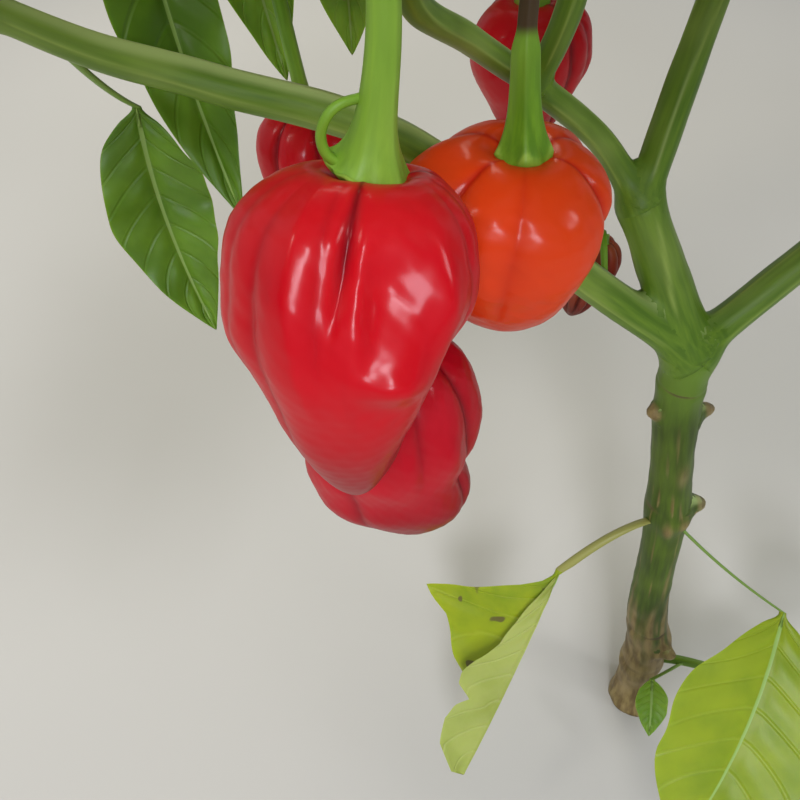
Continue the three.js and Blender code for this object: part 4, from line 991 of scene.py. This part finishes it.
def leaf_surface(leaf, rows, columns, petiole_rows, quilt, seed, scale=1.0):
    """columns are the places across one half of the blade, from 0 to 1, on both of its faces. Each half turns
    up round the midrib by its fold, and a corner then is middle + out x reach + normal x (wave + quilt +-
    half the thickness). A leaf may give each of its halves its own widths in millimetres and folds, both by
    share of the length. quilt is how far the blade swells between its veins, and scale that of its rib."""
    leaf = {**PLAIN_LEAF, **leaf}
    swing = np.random.default_rng(seed).uniform(0, 6.28, 3)
    columns = np.asarray(columns)
    rib = columns[0]
    top = np.concatenate([-columns[::-1], columns])
    cross = np.concatenate([top, top[-2:0:-1]])
    face = np.concatenate([np.ones(len(top)), -np.ones(len(top) - 2)])
    edge = np.abs(cross) == 1
    blade_rows = 1 - (1 - np.linspace(0, 1, rows)[:-1]) ** 1.15
    s = np.concatenate([np.linspace(-1, 0, petiole_rows, endpoint=False), blade_rows])
    on = np.clip(s, 0, 1)
    middle = leaf_line(leaf, on)
    petiole = -np.clip(s, -1, 0)[:, None]
    length = np.linalg.norm(leaf["base"] - leaf["root"])
    hang = np.array([0, 0, -1.0]) * (4 * petiole * (1 - petiole)) * length
    middle = middle * (1 - petiole) + leaf["root"] * petiole + hang * leaf["sag"]
    side, up = leaf_across(leaf, on)
    stem = leaf["petiole"] * scale
    even = np.transpose([on, leaf["width"] * leaf_outline(on, leaf["belly"])])
    alike = {"widths": even, "folds": [(0, leaf["fold"])]}
    widths, folds = [], []
    for half in leaf.get("halves", [alike, alike]):
        width = np.interp(on, *np.transpose(half["widths"]))
        widths.append(np.maximum(width, stem * (1 - on) ** 0.5)[:, None])
        folds.append(np.interp(on, *np.transpose(half["folds"]))[:, None])
    sign = np.sign(cross)
    half, fold = np.where(sign < 0, widths[0], widths[1]), np.where(sign < 0, folds[0], folds[1])
    half = half * (1 + leaf["ragged"] * np.sin(on[:, None] * 19 + swing[0] + sign))
    flat = smooth(s, -0.02, 0.06)[:, None]
    rib_half = np.minimum((RIB_HALF * scale * (1 - 0.75 * on) + 0.1)[:, None], half * 0.5)
    reach = np.where(np.abs(cross) <= rib, rib_half, np.abs(cross) * half)
    share = reach / np.maximum(half, 1e-6)
    margin = leaf["wave"] * half * share**2 * np.sin(on[:, None] * 15 + swing[1] + sign * 1.3)
    margin = margin + leaf["wave"] * 0.4 * half * share**2 * np.sin(on[:, None] * 37 + swing[2] - sign)
    veins = VEIN_PAIRS * on[:, None] - VEIN_ARCH * (share / 2) ** VEIN_CURVE
    pillow = quilt * (1 - np.cos(2 * math.pi * veins)) / 2 * np.clip(share * 4, 0, 1) * (1 - share)
    groove = GROOVE_DEPTH * scale * np.exp(-((reach / (GROOVE_HALF * scale)) ** 2))
    thick = LEAF_THICKNESS / 2 * np.where(edge, 0, face)
    keel = -stem * KEEL_SHARE * (1 - on[:, None]) ** 0.8
    keel = np.where((face < 0) & (np.abs(cross) <= rib), keel, 0)
    lift = margin + pillow + groove + thick + keel
    out = side[:, None] * (sign * np.cos(fold))[..., None] + up[:, None] * np.sin(fold)[..., None]
    normal = up[:, None] * np.cos(fold)[..., None] - side[:, None] * (sign * np.sin(fold))[..., None]
    blade_points = out * reach[..., None] + normal * lift[..., None]
    around = np.arccos(np.clip(cross, -1, 1)) * face
    round_points = side[:, None] * (np.cos(around) * stem)[:, None]
    round_points = round_points + up[:, None] * (np.sin(around) * stem)[:, None]
    flat = flat[..., None]
    rings = middle[:, None] + blade_points * flat + round_points * (1 - flat)
    made = closed_tube(rings, middle[0], leaf["tip"])
    total, count = rings.shape[:2]
    across, down = np.tile(cross / 2 + 0.5, total), np.repeat(on, count)
    made["uv"] = np.concatenate([np.stack([across, down], -1), [[0.5, 0], [0.5, 1]]])
    made["rim"] = np.append(np.tile(edge, (total, 1)) & (s > 0.02)[:, None], [False, False])
    middle_face = (face + np.roll(face, -1)) > 0
    on_rib = (np.abs(cross) <= rib) & (np.abs(np.roll(cross, -1)) <= rib)
    finish = np.where(on_rib, RIB_FINISH, np.where(middle_face, BLADE_FINISH, UNDER_FINISH))
    finish = np.where((s[:-1] < 0)[:, None], PETIOLE_FINISH, finish[None])
    made["quad_finish"] = finish.ravel()
    made["fan_finish"] = np.concatenate([np.full(count, PETIOLE_FINISH), finish[-1]])
    return made


# %% The leaves that stand apart
LONE_LEAVES = {
    "leaf_low_yellow": {
        "root": (-17.6, 27.1, 134), "base": (-57, 13.5, 115.5), "tip": (-94.5, -46.3, 46),
        "bow": (3, 1, 1), "face": (-0.2, -0.3, 0.93), "width": 29, "fold": 0.75, "belly": 0.25,
        "petiole": 2.0, "sag": -0.2, "ragged": 0.02,
        # One half lies open, and the other is folded over onto it, so that its underside shows.
        "halves": [
            {
                "widths": [
                    (0, 0), (0.1, 3.5), (0.2, 6.5), (0.4, 11), (0.5, 17), (0.57, 20.5), (0.62, 20),
                    (0.68, 12.5), (0.73, 17), (0.79, 19), (0.89, 16.5), (1, 6),
                ],
                "folds": [(0, 2.6), (0.5, 2.75), (0.8, 2.6), (1, 2.5)],
            },
            {
                "widths": [
                    (0, 0), (0.08, 5), (0.14, 12), (0.3, 36), (0.4, 52), (0.43, 46), (0.46, 37), (0.52, 32),
                    (0.6, 26), (0.75, 8), (1, 0),
                ],
                "folds": [(0, -0.1), (0.3, -0.15), (1, -0.4)],
            },
        ],
        "finishes": (yellow_blade, yellow_under),
    },
    "leaf_low_bright": {
        "root": (-17.6, 27.1, 137), "base": (13, -12, 136), "tip": (-23, -76, 76),
        "bow": (3, -6, 12), "face": (-0.1, -0.6, 0.8), "width": 29, "fold": 0.22, "belly": 0.5,
        "wave": 0.03, "finishes": (bright_blade, yellow_under),
    },
    "leaf_hanging_left": {
        "root": (-203, 118, 352), "base": (-186, 98, 330), "tip": (-162.4, 44.2, 259),
        "bow": (-6, 0, 4), "face": (0.1, -0.75, 0.6), "width": 13.5, "fold": 0.35, "belly": 0.45,
        "finishes": (hanging_blade, leaf_under),
    },
    "leaf_hanging_far_left": {
        "root": (-196, 48.5, 300), "base": (-190, 66, 278), "tip": (-180, 49, 214),
        "bow": (-8, 4, 2), "face": (0.2, -0.8, 0.5), "width": 15, "fold": 0.3, "belly": 0.42,
        "finishes": (hanging_blade, leaf_under),
    },
    "leaf_hanging_back": {
        "root": (-158, 108, 376), "base": (-172, 118, 345), "tip": (-157, 108, 266),
        "bow": (-2, 4, 0), "face": (0.2, -0.9, 0.3), "width": 13, "fold": 0.2, "belly": 0.45,
        "finishes": (backlit_blade, leaf_under),
    },
    "leaf_hanging_bright": {
        "root": (-121, 79, 353), "base": (-142, 118, 345), "tip": (-137, 122, 268),
        "bow": (2, 6, 2), "face": (0, -0.9, 0.4), "width": 15, "fold": 0.3, "belly": 0.45,
        "finishes": (backlit_blade, leaf_under),
    },
}
FINE_COLUMNS = np.array([0.06, 0.1, 0.16, 0.24, 0.33, 0.43, 0.53, 0.63, 0.73, 0.83, 0.92, 1.0])


LONE_WAVE = 0.09


def as_arrays(leaf):
    """The same leaf with its points as arrays and its face as a direction."""
    points = {key: np.array(leaf[key], float) for key in ("root", "base", "tip", "bow")}
    return {**leaf, **points, "face": unit(leaf["face"])}


LONE_LEAVES = {name: as_arrays({"wave": LONE_WAVE, **given}) for name, given in LONE_LEAVES.items()}
for number, (name, leaf) in enumerate(LONE_LEAVES.items()):
    surface = leaf_surface(leaf, rows=90, columns=FINE_COLUMNS, petiole_rows=14, quilt=0.9, seed=40 + number)
    petiole = yellow_petiole if name == "leaf_low_yellow" else petiole_skin
    make_piece(name + "_blade", surface, [*leaf["finishes"], midrib_skin, petiole], [name])

# %% [markdown]
# ## The low shoot
# A side shoot with three leaves grows from the stem near the ground: the same tube and leaf again.

# %% The low shoot
SHOOT_LINE = [(-2.8, 7, 36), (14, 2, 42), (34, -8, 52)]
SHOOT_RADII = (2.5, 1.9)
# Its leaves: share of the way along the shoot, base, tip, half width.
SHOOT_LEAVES = [
    (1, (46, -30, 60), (72, -80, 40), 20), (0.97, (60, 2, 64), (116, 26, 50), 18),
    (0.5, (-4.5, -7, 44.5), (-5.5, -27, 26), 7.2),
]
LEAF_FOLD = 0.15
LEAF_BELLY = 0.41

shoot_leaves, blades = [], []
for number, (share, base, tip, width) in enumerate(SHOOT_LEAVES):
    leaf = as_arrays({
        "root": along(SHOOT_LINE, share)[0], "base": base, "tip": tip, "bow": (0, 0, width * 0.35),
        "face": (-0.2, -0.5, 0.85), "width": width, "fold": LEAF_FOLD, "belly": LEAF_BELLY,
    })
    shoot_leaves.append(leaf)
    blades.append(leaf_surface(leaf, 50, FINE_COLUMNS, petiole_rows=10, quilt=0.6, seed=60 + number))
shoot_finishes = [backlit_blade, leaf_under, midrib_skin, petiole_skin]
make_piece("shoot_leaves", together(blades), shoot_finishes)
shoot_twig = unmarked(plain_tube(SHOOT_LINE, SHOOT_RADII, sides=20, step=1.5))
make_piece("shoot_twig", shoot_twig, [green_bark], ["shoot_low"])

# %% [markdown]
# ## The crown
# The crown grows by a rule that the plain solids followed too, so each twig and leaf lands where its solid
# is: first all twigs, then the fruit, then the leaves. A twig forks in two, each fork turned a quarter
# round. Leaves leave a twig at the golden angle. What would touch a limb, a fruit or another leaf is left
# out. After that the rule is carried on to finer shoots with young leaves, which fill the room that is left.
# Scattering copies with Geometry Nodes is quicker, but it can't keep every leaf clear of the others.

# %% Where things already are
LEAF_LENGTH = 86
LEAF_WIDTH_SHARE = 0.27
PETIOLE_LENGTH = 24
LEAF_TILT = 1.3
TWIG_LENGTH = 44
TWIG_SHARE = 0.86  # a twig's length over its parent's
TWIG_RADIUS = 2.3
TWIG_TAPER = 0.8
FORK_ANGLE = 0.62
GENERATIONS = 3  # of twigs
GOLDEN_ANGLE = 2.39996
FRUIT_LENGTH, FRUIT_RADIUS, FRUIT_STALK = 50, 19, 27
GROUND_GAP = 120  # the lowest that the crown hangs
SPOT_STEP = 5
# The air that a part keeps to others, and how near its own foot it may touch.
LIMB_AIR, LEAF_AIR, TWIG_AIR, FRUIT_AIR = 6, 9.5, 4, 2
FIRST_BASE, TWIG_BASE = 12, 6
# A mass's space lies round a centre this far from its bough's tip, and reaches this far into the next.
SPACE_REACH, SPACE_SHARING = 82, 26
STALK_SWING, STALK_DROP = 6, 7
LEAVES_PER_TWIG, LEAVES_PER_LAST_TWIG, SPARE_TRIES = 3, 4, 10
OPENING_EYE = np.array([-121.4, -101.5, 358.6])  # the eye, rounded as the solids have it
OPENING_NEAR = 58
OPENING_DEPTH = 520
SPOTS_AT_MOST = 60000

# Each mass: the way it grows on, its seed, and the most fruit that it bears.
MASSES = {
    "left_front": ((-0.62, -0.62, 0.05), 11, 1), "left_top": ((-0.25, -0.1, 1), 25, 1),
    "left_back": ((-0.75, 0.55, 0.05), 12, 1), "front_left": ((-0.5, -0.5, 0.7), 13, 1),
    "front_top": ((0.1, -0.75, 0.6), 14, 1), "top_left": ((-0.45, 0.05, 0.9), 15, 1),
    "back_left": ((-0.55, 0.65, 0.55), 16, 1), "top": ((0.05, -0.15, 1), 17, 1),
    "back": ((-0.15, 0.95, 0.05), 18, 2), "back_top": ((0.2, 0.55, 0.85), 24, 1),
    "low_front": ((0.1, -0.9, 0.15), 19, 1), "low_side": ((0.8, -0.55, 0.05), 20, 1),
    "right_top": ((0.5, 0.1, 0.8), 26, 0), "right_side": ((0.95, 0.2, 0.05), 21, 2),
    "right_back": ((0.35, 0.9, 0.1), 22, 2), "top_right": ((0.5, 0.1, 0.85), 23, 1),
}


def seeded(seed):
    """Numbers from 0 to 1, the same for the same seed: a 32-bit mixing generator."""
    whole = 0xFFFFFFFF
    state = seed

    def draw():
        nonlocal state
        state = (state + 0x6D2B79F5) & whole
        t = ((state ^ (state >> 15)) * (state | 1)) & whole
        t ^= (t + (((t ^ (t >> 7)) * (t | 61)) & whole)) & whole
        return (t ^ (t >> 14)) / 4294967296

    return draw


class Spots:
    """Round places that are taken: each has a middle and a radius."""

    def __init__(self):
        self.at = np.zeros((SPOTS_AT_MOST, 3))
        self.radius = np.zeros(SPOTS_AT_MOST)
        self.count = 0

    def take(self, at, radius):
        at = np.atleast_2d(at)
        self.at[self.count : self.count + len(at)] = at
        self.radius[self.count : self.count + len(at)] = radius
        self.count += len(at)

    def clear(self, at, air, apart_from=None, foot=0):
        """Whether all points keep this much air to every spot, apart from those near a twig's foot."""
        at = np.atleast_2d(at)
        low, high = at.min(0), at.max(0)
        taken, radius = self.at[: self.count], self.radius[: self.count]
        room = (radius + air)[:, None]
        near = ((taken > low - room) & (taken < high + room)).all(1)
        if apart_from is not None:
            near &= np.linalg.norm(taken - apart_from, axis=1) > radius + foot
        gaps = np.linalg.norm(at[:, None] - taken[near], axis=2)
        return bool((gaps > radius[near] + air).all())


woody, leafy = Spots(), Spots()


def take_line(points, radius_at):
    """Takes the room of a limb, a stalk or a petiole."""
    count = math.ceil(line_length(points) / SPOT_STEP)
    share = np.arange(count + 1) / count
    woody.take(along(points, share), radius_at(share))


def blade_spots(leaf, places=(0.08, 0.22, 0.36, 0.5, 0.64, 0.78, 0.9, 1), across=(-1, -0.5, 0, 0.5, 1)):
    """Points all over a blade, for telling whether it is clear of something."""
    s, x = np.array(places), np.array(across, float)
    side, up = leaf_across(leaf, s)
    half = (leaf["width"] * leaf_outline(s, leaf["belly"]))[:, None, None]
    spots = leaf_line(leaf, s)[:, None] + side[:, None] * x[:, None] * half * math.cos(leaf["fold"])
    return (spots + up[:, None] * np.abs(x)[:, None] * half * math.sin(leaf["fold"])).reshape(-1, 3)


take_line(STEM_LINE, stem_radius)
for line, start, end in BOUGHS.values():
    take_line(line, taper(start, end))
for fruit in FRUITS.values():
    take_line(fruit["stalk"], taper(stalk_thickness(fruit), stalk_thickness(fruit)))
    for share in (0.25, 0.45, 0.65, 0.85):
        middle = np.array(fruit["stalk"][-1]) + unit(fruit["axis"]) * share * fruit["length"]
        radius = fruit["radius"] * fruit_profile(np.array([share]), fruit["taper"], fruit["waist"])
        woody.take(middle, radius)
for leaf in LONE_LEAVES.values():
    leafy.take(blade_spots(leaf), 0)
    take_line([leaf["root"], leaf["base"]], taper(PETIOLE_RADIUS, PETIOLE_RADIUS))
for leaf in shoot_leaves:
    leafy.take(blade_spots(leaf), 0)
take_line(SHOOT_LINE, taper(*SHOOT_RADII))
print(woody.count, "woody spots and", leafy.count, "leaf spots before the crown grows")


# %% The rule of growth
def between(start, end, *shares):
    """Points at shares of the straight way from start to end."""
    return start + (end - start) * np.array(shares)[:, None]


def square_to(twig, angle):
    """The direction at an angle round a twig, square to it."""
    side, over = crosswise(twig["way"], hint_for(twig["start"], twig["end"]))
    return side * math.cos(angle) + over * math.sin(angle)


def in_opening(at):
    """Whether points lie in the open air between the eye and the fruit."""
    off = np.atleast_2d(at) - OPENING_EYE
    depth = off[:, 1] * math.cos(EYE_PITCH) - off[:, 2] * math.sin(EYE_PITCH)
    rise = off[:, 1] * math.sin(EYE_PITCH) + off[:, 2] * math.cos(EYE_PITCH)
    sideways = np.abs(off[:, 0]) < depth * np.where(depth < 170, 0.7, 0.5)
    inside = (depth >= 0) & (depth <= OPENING_DEPTH) & (np.abs(rise) <= depth * 0.66) & sideways
    return (np.linalg.norm(off, axis=1) < OPENING_NEAR) | inside


tips = {name: (np.array(BOUGHS[name][0][-1], float), heading(BOUGHS[name][0], 1)[0]) for name in MASSES}
centres = {name: tips[name][0] + unit(aim) * SPACE_REACH for name, (aim, _, _) in MASSES.items()}


def allowed(name, at):
    """Whether points keep to a mass's own space: nearer to its centre than to another's, give or take."""
    at = np.atleast_2d(at)
    own = np.linalg.norm(at - centres[name], axis=1)
    for centre in centres.values():
        if (np.linalg.norm(at - centre, axis=1) < own - SPACE_SHARING).any():
            return False
    return bool((at[:, 2] > GROUND_GAP).all()) and not in_opening(at).any()


def grow_twigs(name):
    """A mass's twigs: one from the bough's tip, forking on for three generations where there is room."""
    aim, seed, _ = MASSES[name]
    random, aim, (tip, direction) = seeded(seed), unit(aim), tips[name]
    twigs = []

    def grow(start, way, roll, generation):
        length = TWIG_LENGTH * TWIG_SHARE**generation * (0.88 + 0.24 * random())
        end = start + way * length
        spots = between(start, end, 0.4, 0.6, 0.8, 1)
        foot = FIRST_BASE if generation == 0 else TWIG_BASE
        if not (woody.clear(spots, TWIG_AIR, start, foot) and allowed(name, spots)):
            return
        radius, last = TWIG_RADIUS * TWIG_TAPER**generation, generation + 1 == GENERATIONS
        twig = {"start": start, "end": end, "way": way, "roll": roll, "radius": radius, "last": last}
        twigs.append(twig)
        if last:
            return
        across = square_to(twig, roll)
        for turn in (-1, 1):
            angle = turn * FORK_ANGLE * (0.8 + 0.4 * random())
            forked = unit(way * math.cos(angle) + across * math.sin(angle) + aim * 0.2)
            grow(end - way * radius * 0.5, forked, roll + math.pi / 2, generation + 1)

    grow(tip, unit(direction + aim), random() * math.pi, 0)
    for twig in twigs:
        woody.take(between(twig["start"], twig["end"], 0.15, 0.3, 0.45, 0.6, 0.75, 0.9, 1), twig["radius"])
    return twigs


def grow_fruit(name, twigs):
    """The fruit of a mass: one under a twig's end, where there is room, but none under the last twigs."""
    _, seed, most = MASSES[name]
    random = seeded(seed + 100)
    fruits = []
    for twig in twigs:
        size, turn = 0.8 + 0.4 * random(), random() * math.pi
        if len(fruits) == most or twig["last"]:
            continue
        swing = twig["way"] * [STALK_SWING, STALK_SWING, 0]
        calyx = twig["end"] + swing - [0, 0, FRUIT_STALK]
        radius, length = FRUIT_RADIUS * size, FRUIT_LENGTH * size
        middle, foot = calyx - [0, 0, length * 0.45], calyx - [0, 0, length]
        if not (allowed(name, [calyx, middle, foot]) and woody.clear(middle, radius + FRUIT_AIR)):
            continue
        bend = twig["end"] + swing - [0, 0, STALK_DROP]
        fruits.append({
            **PLAIN_FRUIT, "stalk": [twig["end"], bend, calyx], "axis": (0, 0, -1), "length": length,
            "radius": radius, "taper": 1.7, "turn": turn,
        })
        woody.take(middle, radius * 1.05)
        woody.take(foot + (middle - foot) * 0.35, radius * 0.7)
    return fruits


def sprouting_leaf(twig, share, around, spread, size, droop, slack, tilt):
    """A leaf that leaves a twig at an angle round and an angle off it, droops, and leans sideways."""
    lead = twig["way"] * math.cos(spread) + square_to(twig, around) * math.sin(spread)
    lead[2] = min(lead[2] * 0.55 + 0.1, math.hypot(lead[0], lead[1]) * 0.6)
    lead = unit(lead)
    root = between(twig["start"], twig["end"], share)[0]
    base = root + lead * PETIOLE_LENGTH * size
    tip = base + unit(lead + [0, 0, -droop]) * LEAF_LENGTH * size
    face = unit(np.array([0, 0, 1]) + lead * 0.35 + np.array([-lead[1], lead[0], 0]) * tilt)
    bow = face * LEAF_LENGTH * size * (0.1 + 0.08 * slack)
    return {
        "root": root, "base": base, "tip": tip, "bow": bow, "face": face,
        "width": LEAF_LENGTH * LEAF_WIDTH_SHARE * size, "fold": LEAF_FOLD, "belly": LEAF_BELLY,
    }


def grow_leaves(name, twigs):
    """The full-grown leaves of a mass, near the ends of its twigs, where there is room."""
    random = seeded(MASSES[name][1] + 200)
    leaves = []
    for twig in twigs:
        last = twig["last"]
        wanted = LEAVES_PER_LAST_TWIG if last else LEAVES_PER_TWIG
        grown = 0
        for attempt in range(wanted + SPARE_TRIES):
            around = twig["roll"] + attempt * GOLDEN_ANGLE + 0.6 * random()
            spread = 0.75 + 0.55 * random()
            size = (0.84 if last else 1) * (0.72 + 0.4 * random())
            droop, slack = 0.3 + 0.8 * random(), random()
            tilt = LEAF_TILT * (random() - 0.5)
            if grown == wanted:
                continue
            share = 0.78 if last and attempt % 2 else 0.97
            leaf = sprouting_leaf(twig, share, around, spread, size, droop, slack, tilt)
            spots = blade_spots(leaf)
            if allowed(name, spots) and woody.clear(spots, LIMB_AIR) and leafy.clear(spots, LEAF_AIR):
                leaves.append(leaf)
                leafy.take(spots, 0)
                grown += 1
    return leaves


twigs_of = {name: grow_twigs(name) for name in MASSES}
fruits_of = {name: grow_fruit(name, twigs_of[name]) for name in MASSES}
leaves_of = {name: grow_leaves(name, twigs_of[name]) for name in MASSES}
for label, grown in (("twigs", twigs_of), ("fruit", fruits_of), ("leaves", leaves_of)):
    print(label, sum(len(each) for each in grown.values()))

# %% [markdown]
# ### Finer shoots
# A pepper keeps branching: side shoots stand along each twig and end in a tuft of small, light leaves.
# They keep inside the box that the mass's solid fills, so the crown's reach stays the same.

# %% Finer shoots and young leaves
SHOOT_SHARES = (0.3, 0.5, 0.7, 0.88, 1.0)  # where shoots stand along a twig
FINER_LENGTH, FINER_SPREAD = 17, 15  # a shoot's least length, and how much more it may have
FINER_RADIUS, FINER_END = 1.15, 0.7
FINER_LIMB_AIR, FINER_LEAF_AIR, FINER_BASE = 2.2, 2.4, 4
YOUNG_LEAVES, YOUNG_TRIES = 4, 9
LEAF_SHARES = (1.0, 0.95, 0.6)  # where leaves stand along a shoot, in turn
YOUNG_PLACES = (0.1, 0.4, 0.7, 1)
YOUNG_ACROSS = (-1, 0, 1)
YOUNG_LIMB_AIR, YOUNG_LEAF_AIR = 2.6, 5.0
BOX_MARGIN = 4


def grow_finer(name, twigs):
    """Side shoots on each twig at the golden angle, each with young leaves, where there is room."""
    random = seeded(MASSES[name][1] + 300)
    low, high = (np.array(corner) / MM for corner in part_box("foliage_" + name))

    def free(at):
        return bool(((at > low - BOX_MARGIN) & (at < high + BOX_MARGIN)).all()) and allowed(name, at)

    shoots, leaves = [], []
    for twig in twigs:
        for k, share in enumerate(SHOOT_SHARES):
            around = twig["roll"] + k * GOLDEN_ANGLE + random()
            off = 0.35 if share == 1 and twig["last"] else 0.75 + 0.3 * random()
            length = FINER_LENGTH + FINER_SPREAD * random()
            way = unit(twig["way"] * math.cos(off) + square_to(twig, around) * math.sin(off))
            way = unit(way + [0, 0, 0.3])
            start = between(twig["start"], twig["end"], share)[0]
            shoot = {"start": start, "end": start + way * length, "way": way}
            spots = between(start, shoot["end"], 0.6, 0.8, 1)
            clear = woody.clear(spots, FINER_LIMB_AIR, start, FINER_BASE)
            if not (clear and leafy.clear(spots, FINER_LEAF_AIR) and free(spots)):
                shoot = twig
            grown = 0
            for attempt in range(YOUNG_TRIES):
                turn = around + attempt * GOLDEN_ANGLE + 0.5 * random()
                spread = 0.7 + 0.6 * random()
                size = 0.3 + 0.42 * random() ** 1.3
                droop, slack, tilt = 0.2 + 0.7 * random(), random(), LEAF_TILT * (random() - 0.5)
                place = share if shoot is twig else LEAF_SHARES[attempt % len(LEAF_SHARES)]
                if grown == YOUNG_LEAVES:
                    continue
                leaf = sprouting_leaf(shoot, min(place, 0.98), turn, spread, size, droop, slack, tilt)
                spots = blade_spots(leaf, YOUNG_PLACES, YOUNG_ACROSS)
                if free(spots) and woody.clear(spots, YOUNG_LIMB_AIR) and leafy.clear(spots, YOUNG_LEAF_AIR):
                    leaves.append(leaf)
                    leafy.take(spots, 0)
                    grown += 1
            if grown and shoot is not twig:
                shoots.append(shoot)
                woody.take(between(start, shoot["end"], 0.5, 0.75, 1), 1.0)
    return shoots, leaves


finer_of = {name: grow_finer(name, twigs_of[name]) for name in MASSES}
print("finer shoots", sum(len(shoots) for shoots, _ in finer_of.values()))
print("young leaves", sum(len(leaves) for _, leaves in finer_of.values()))

# %% [markdown]
# ### The crown's meshes
# Thousands of faces are cheap when they are made from arrays and joined. Each kind is one piece: twigs,
# mature leaves, young leaves, fruit, and its stalks. A leaf's green is dealt out by chance, as one plain
# tone for the whole blade: old leaves are darker, and young leaves lighter.

# %% Twigs
TWIG_BEND = 1.2

twig_tubes = []
for name in MASSES:
    for twig in twigs_of[name]:
        bent = (twig["start"] + twig["end"]) / 2 + np.cross(twig["way"], [0, 0, 1]) * TWIG_BEND
        ends = (twig["radius"] * 1.08, twig["radius"] * TWIG_TAPER)
        twig_tubes.append(unmarked(plain_tube([twig["start"], bent, twig["end"]], ends, sides=10, step=5)))
    for shoot in finer_of[name][0]:
        tube = plain_tube([shoot["start"], shoot["end"]], (FINER_RADIUS, FINER_END), sides=6, step=8)
        twig_tubes.append(unmarked(tube))
masses = ["foliage_" + name for name in MASSES]
make_piece("crown_twigs", together(twig_tubes), [green_bark], masses)

# %% Leaves
deal = np.random.default_rng(77)
crown_finishes = [*crown_blades, leaf_under, midrib_skin, petiole_skin]


def make_leaves(name, leaves, chances, **detail):
    """One piece of many leaves, each with one of the greens by these chances. A blade's faces point at its
    green, and the other finishes come after the greens."""
    greens = len(crown_blades)
    made = []
    for leaf in leaves:
        tone = deal.choice(greens, p=chances)
        surface = leaf_surface(leaf, seed=int(deal.integers(9999)), **detail)
        for key in ("quad_finish", "fan_finish"):
            surface[key] = np.where(surface[key] == BLADE_FINISH, tone, surface[key] + greens - 1)
        made.append(surface)
    make_piece(name, together(made), crown_finishes)


mature = sum(leaves_of.values(), [])
young = [{**leaf, "wave": 0.08} for _, leaves in finer_of.values() for leaf in leaves]
make_leaves(
    "crown_leaves", mature, [0.26, 0.3, 0.24, 0.14, 0.06],
    rows=11, columns=(0.08, 0.3, 0.62, 1), petiole_rows=3, quilt=0.5,
)
make_leaves(
    "crown_young_leaves", young, [0.06, 0.16, 0.28, 0.28, 0.22],
    rows=7, columns=(0.14, 0.6, 1), petiole_rows=2, quilt=0, scale=0.6,
)

# %% Fruit of the crown
skins, stalks = [], []
for number, fruit in enumerate(sum(fruits_of.values(), [])):
    lobes = 4 + number % 2
    fruit["folds"] = []
    for i in range(lobes):
        turn = math.degrees(fruit["turn"]) + i * 360 / lobes + 14 * math.sin(7 * i + number)
        fruit["folds"].append((turn, 11, 0.14, -0.1, 0.95, 8 * math.sin(number + i)))
    skins.append(fruit_surface(fruit, rows=44, sides=60, seed=100 + number))
    stalks.append(stalk_surface(fruit, sides=20, ring_step=1.6))
# Every fourth fruit, from the third on, is still ripening.
ripening = skins[2::4]
ripe = [surface for i, surface in enumerate(skins) if i % 4 != 2]
make_piece("crown_red_fruit", together(ripe), [red_skin])
make_piece("crown_orange_fruit", together(ripening), [orange_skin])
make_piece("crown_fruit_stalks", together(stalks), [stalk_skin])

# %% [markdown]
# ## Floor and light
# A pale floor under a bright, even sky stands in for a studio. The fruit hangs deep in the crown, so two of
# the soft lamps stand where the crown has gaps, both behind the camera and one above the other. Three more
# light the plant from its left, its right and its back.

# %% Floor and light
FLOOR_HALF = 9.0

floor_mesh = bpy.data.meshes.new("floor")
floor_corners = [(x * FLOOR_HALF, y * FLOOR_HALF, 0.0) for x, y in ((-1, -1), (1, -1), (1, 1), (-1, 1))]
floor_mesh.from_pydata(floor_corners, [], [(0, 1, 2, 3)])
floor_mesh.materials.append(new_finish("studio_floor", "#bfbcb5", Roughness=0.9, Specular_IOR_Level=0.1)[0])
placed("floor", floor_mesh)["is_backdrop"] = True

# Each lamp: place and aim in metres, size, power, colour.
LAMPS = {
    "front": ((-0.22, -1.25, 1.0), (-0.1, 0, 0.26), 0.4, 8, "#eef1ff"),
    "high": ((-0.236, -0.98, 1.31), (-0.12, -0.03, 0.28), 0.34, 9, "#f2f4ff"),
    "left": ((-1.05, -0.16, 1.25), (-0.14, -0.02, 0.29), 0.4, 6, "#fffaf0"),
    "right": ((0.9, -0.3, 1.1), (0, 0.05, 0.25), 0.4, 5, "#f6f8ff"),
    "back": ((-0.3, 1.1, 1.0), (-0.1, 0.05, 0.3), 0.7, 6, "#fffbe8"),
}
for name, (place, aim, size, power, tint) in LAMPS.items():
    lamp_data = bpy.data.lights.new(name, "AREA")
    lamp_data.shape = "DISK"
    lamp_data.size = size
    lamp_data.energy = power
    lamp_data.color = linear(tint)[:3]
    lamp = placed(name, lamp_data)
    lamp.location = place
    ahead = unit(np.subtract(aim, place))
    lamp.rotation_euler = (math.acos(-ahead[2]), 0, math.atan2(ahead[0], -ahead[1]) + math.pi)
    lamp.visible_camera = False

world = bpy.data.worlds.new("studio")
world.use_nodes = True
sky = world.node_tree.nodes["Background"]
sky.inputs["Color"].default_value = linear("#eef2f7")
sky.inputs["Strength"].default_value = 0.55
bpy.context.scene.world = world

# %% [markdown]
# ## Sizes
# The dressed plant's box is set against the solids' box, and how far it stands proud on each side is printed.
# The dressed plant has to stay within the solids' box, apart from a little.

# %% Sizes
dressed_box = [list(corner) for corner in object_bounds()]
for axis, label in enumerate("xyz"):
    low = (solids_box[0][axis] - dressed_box[0][axis]) / MM
    high = (dressed_box[1][axis] - solids_box[1][axis]) / MM
    print(label, "stands proud by", round(low, 1), "and", round(high, 1), "mm")
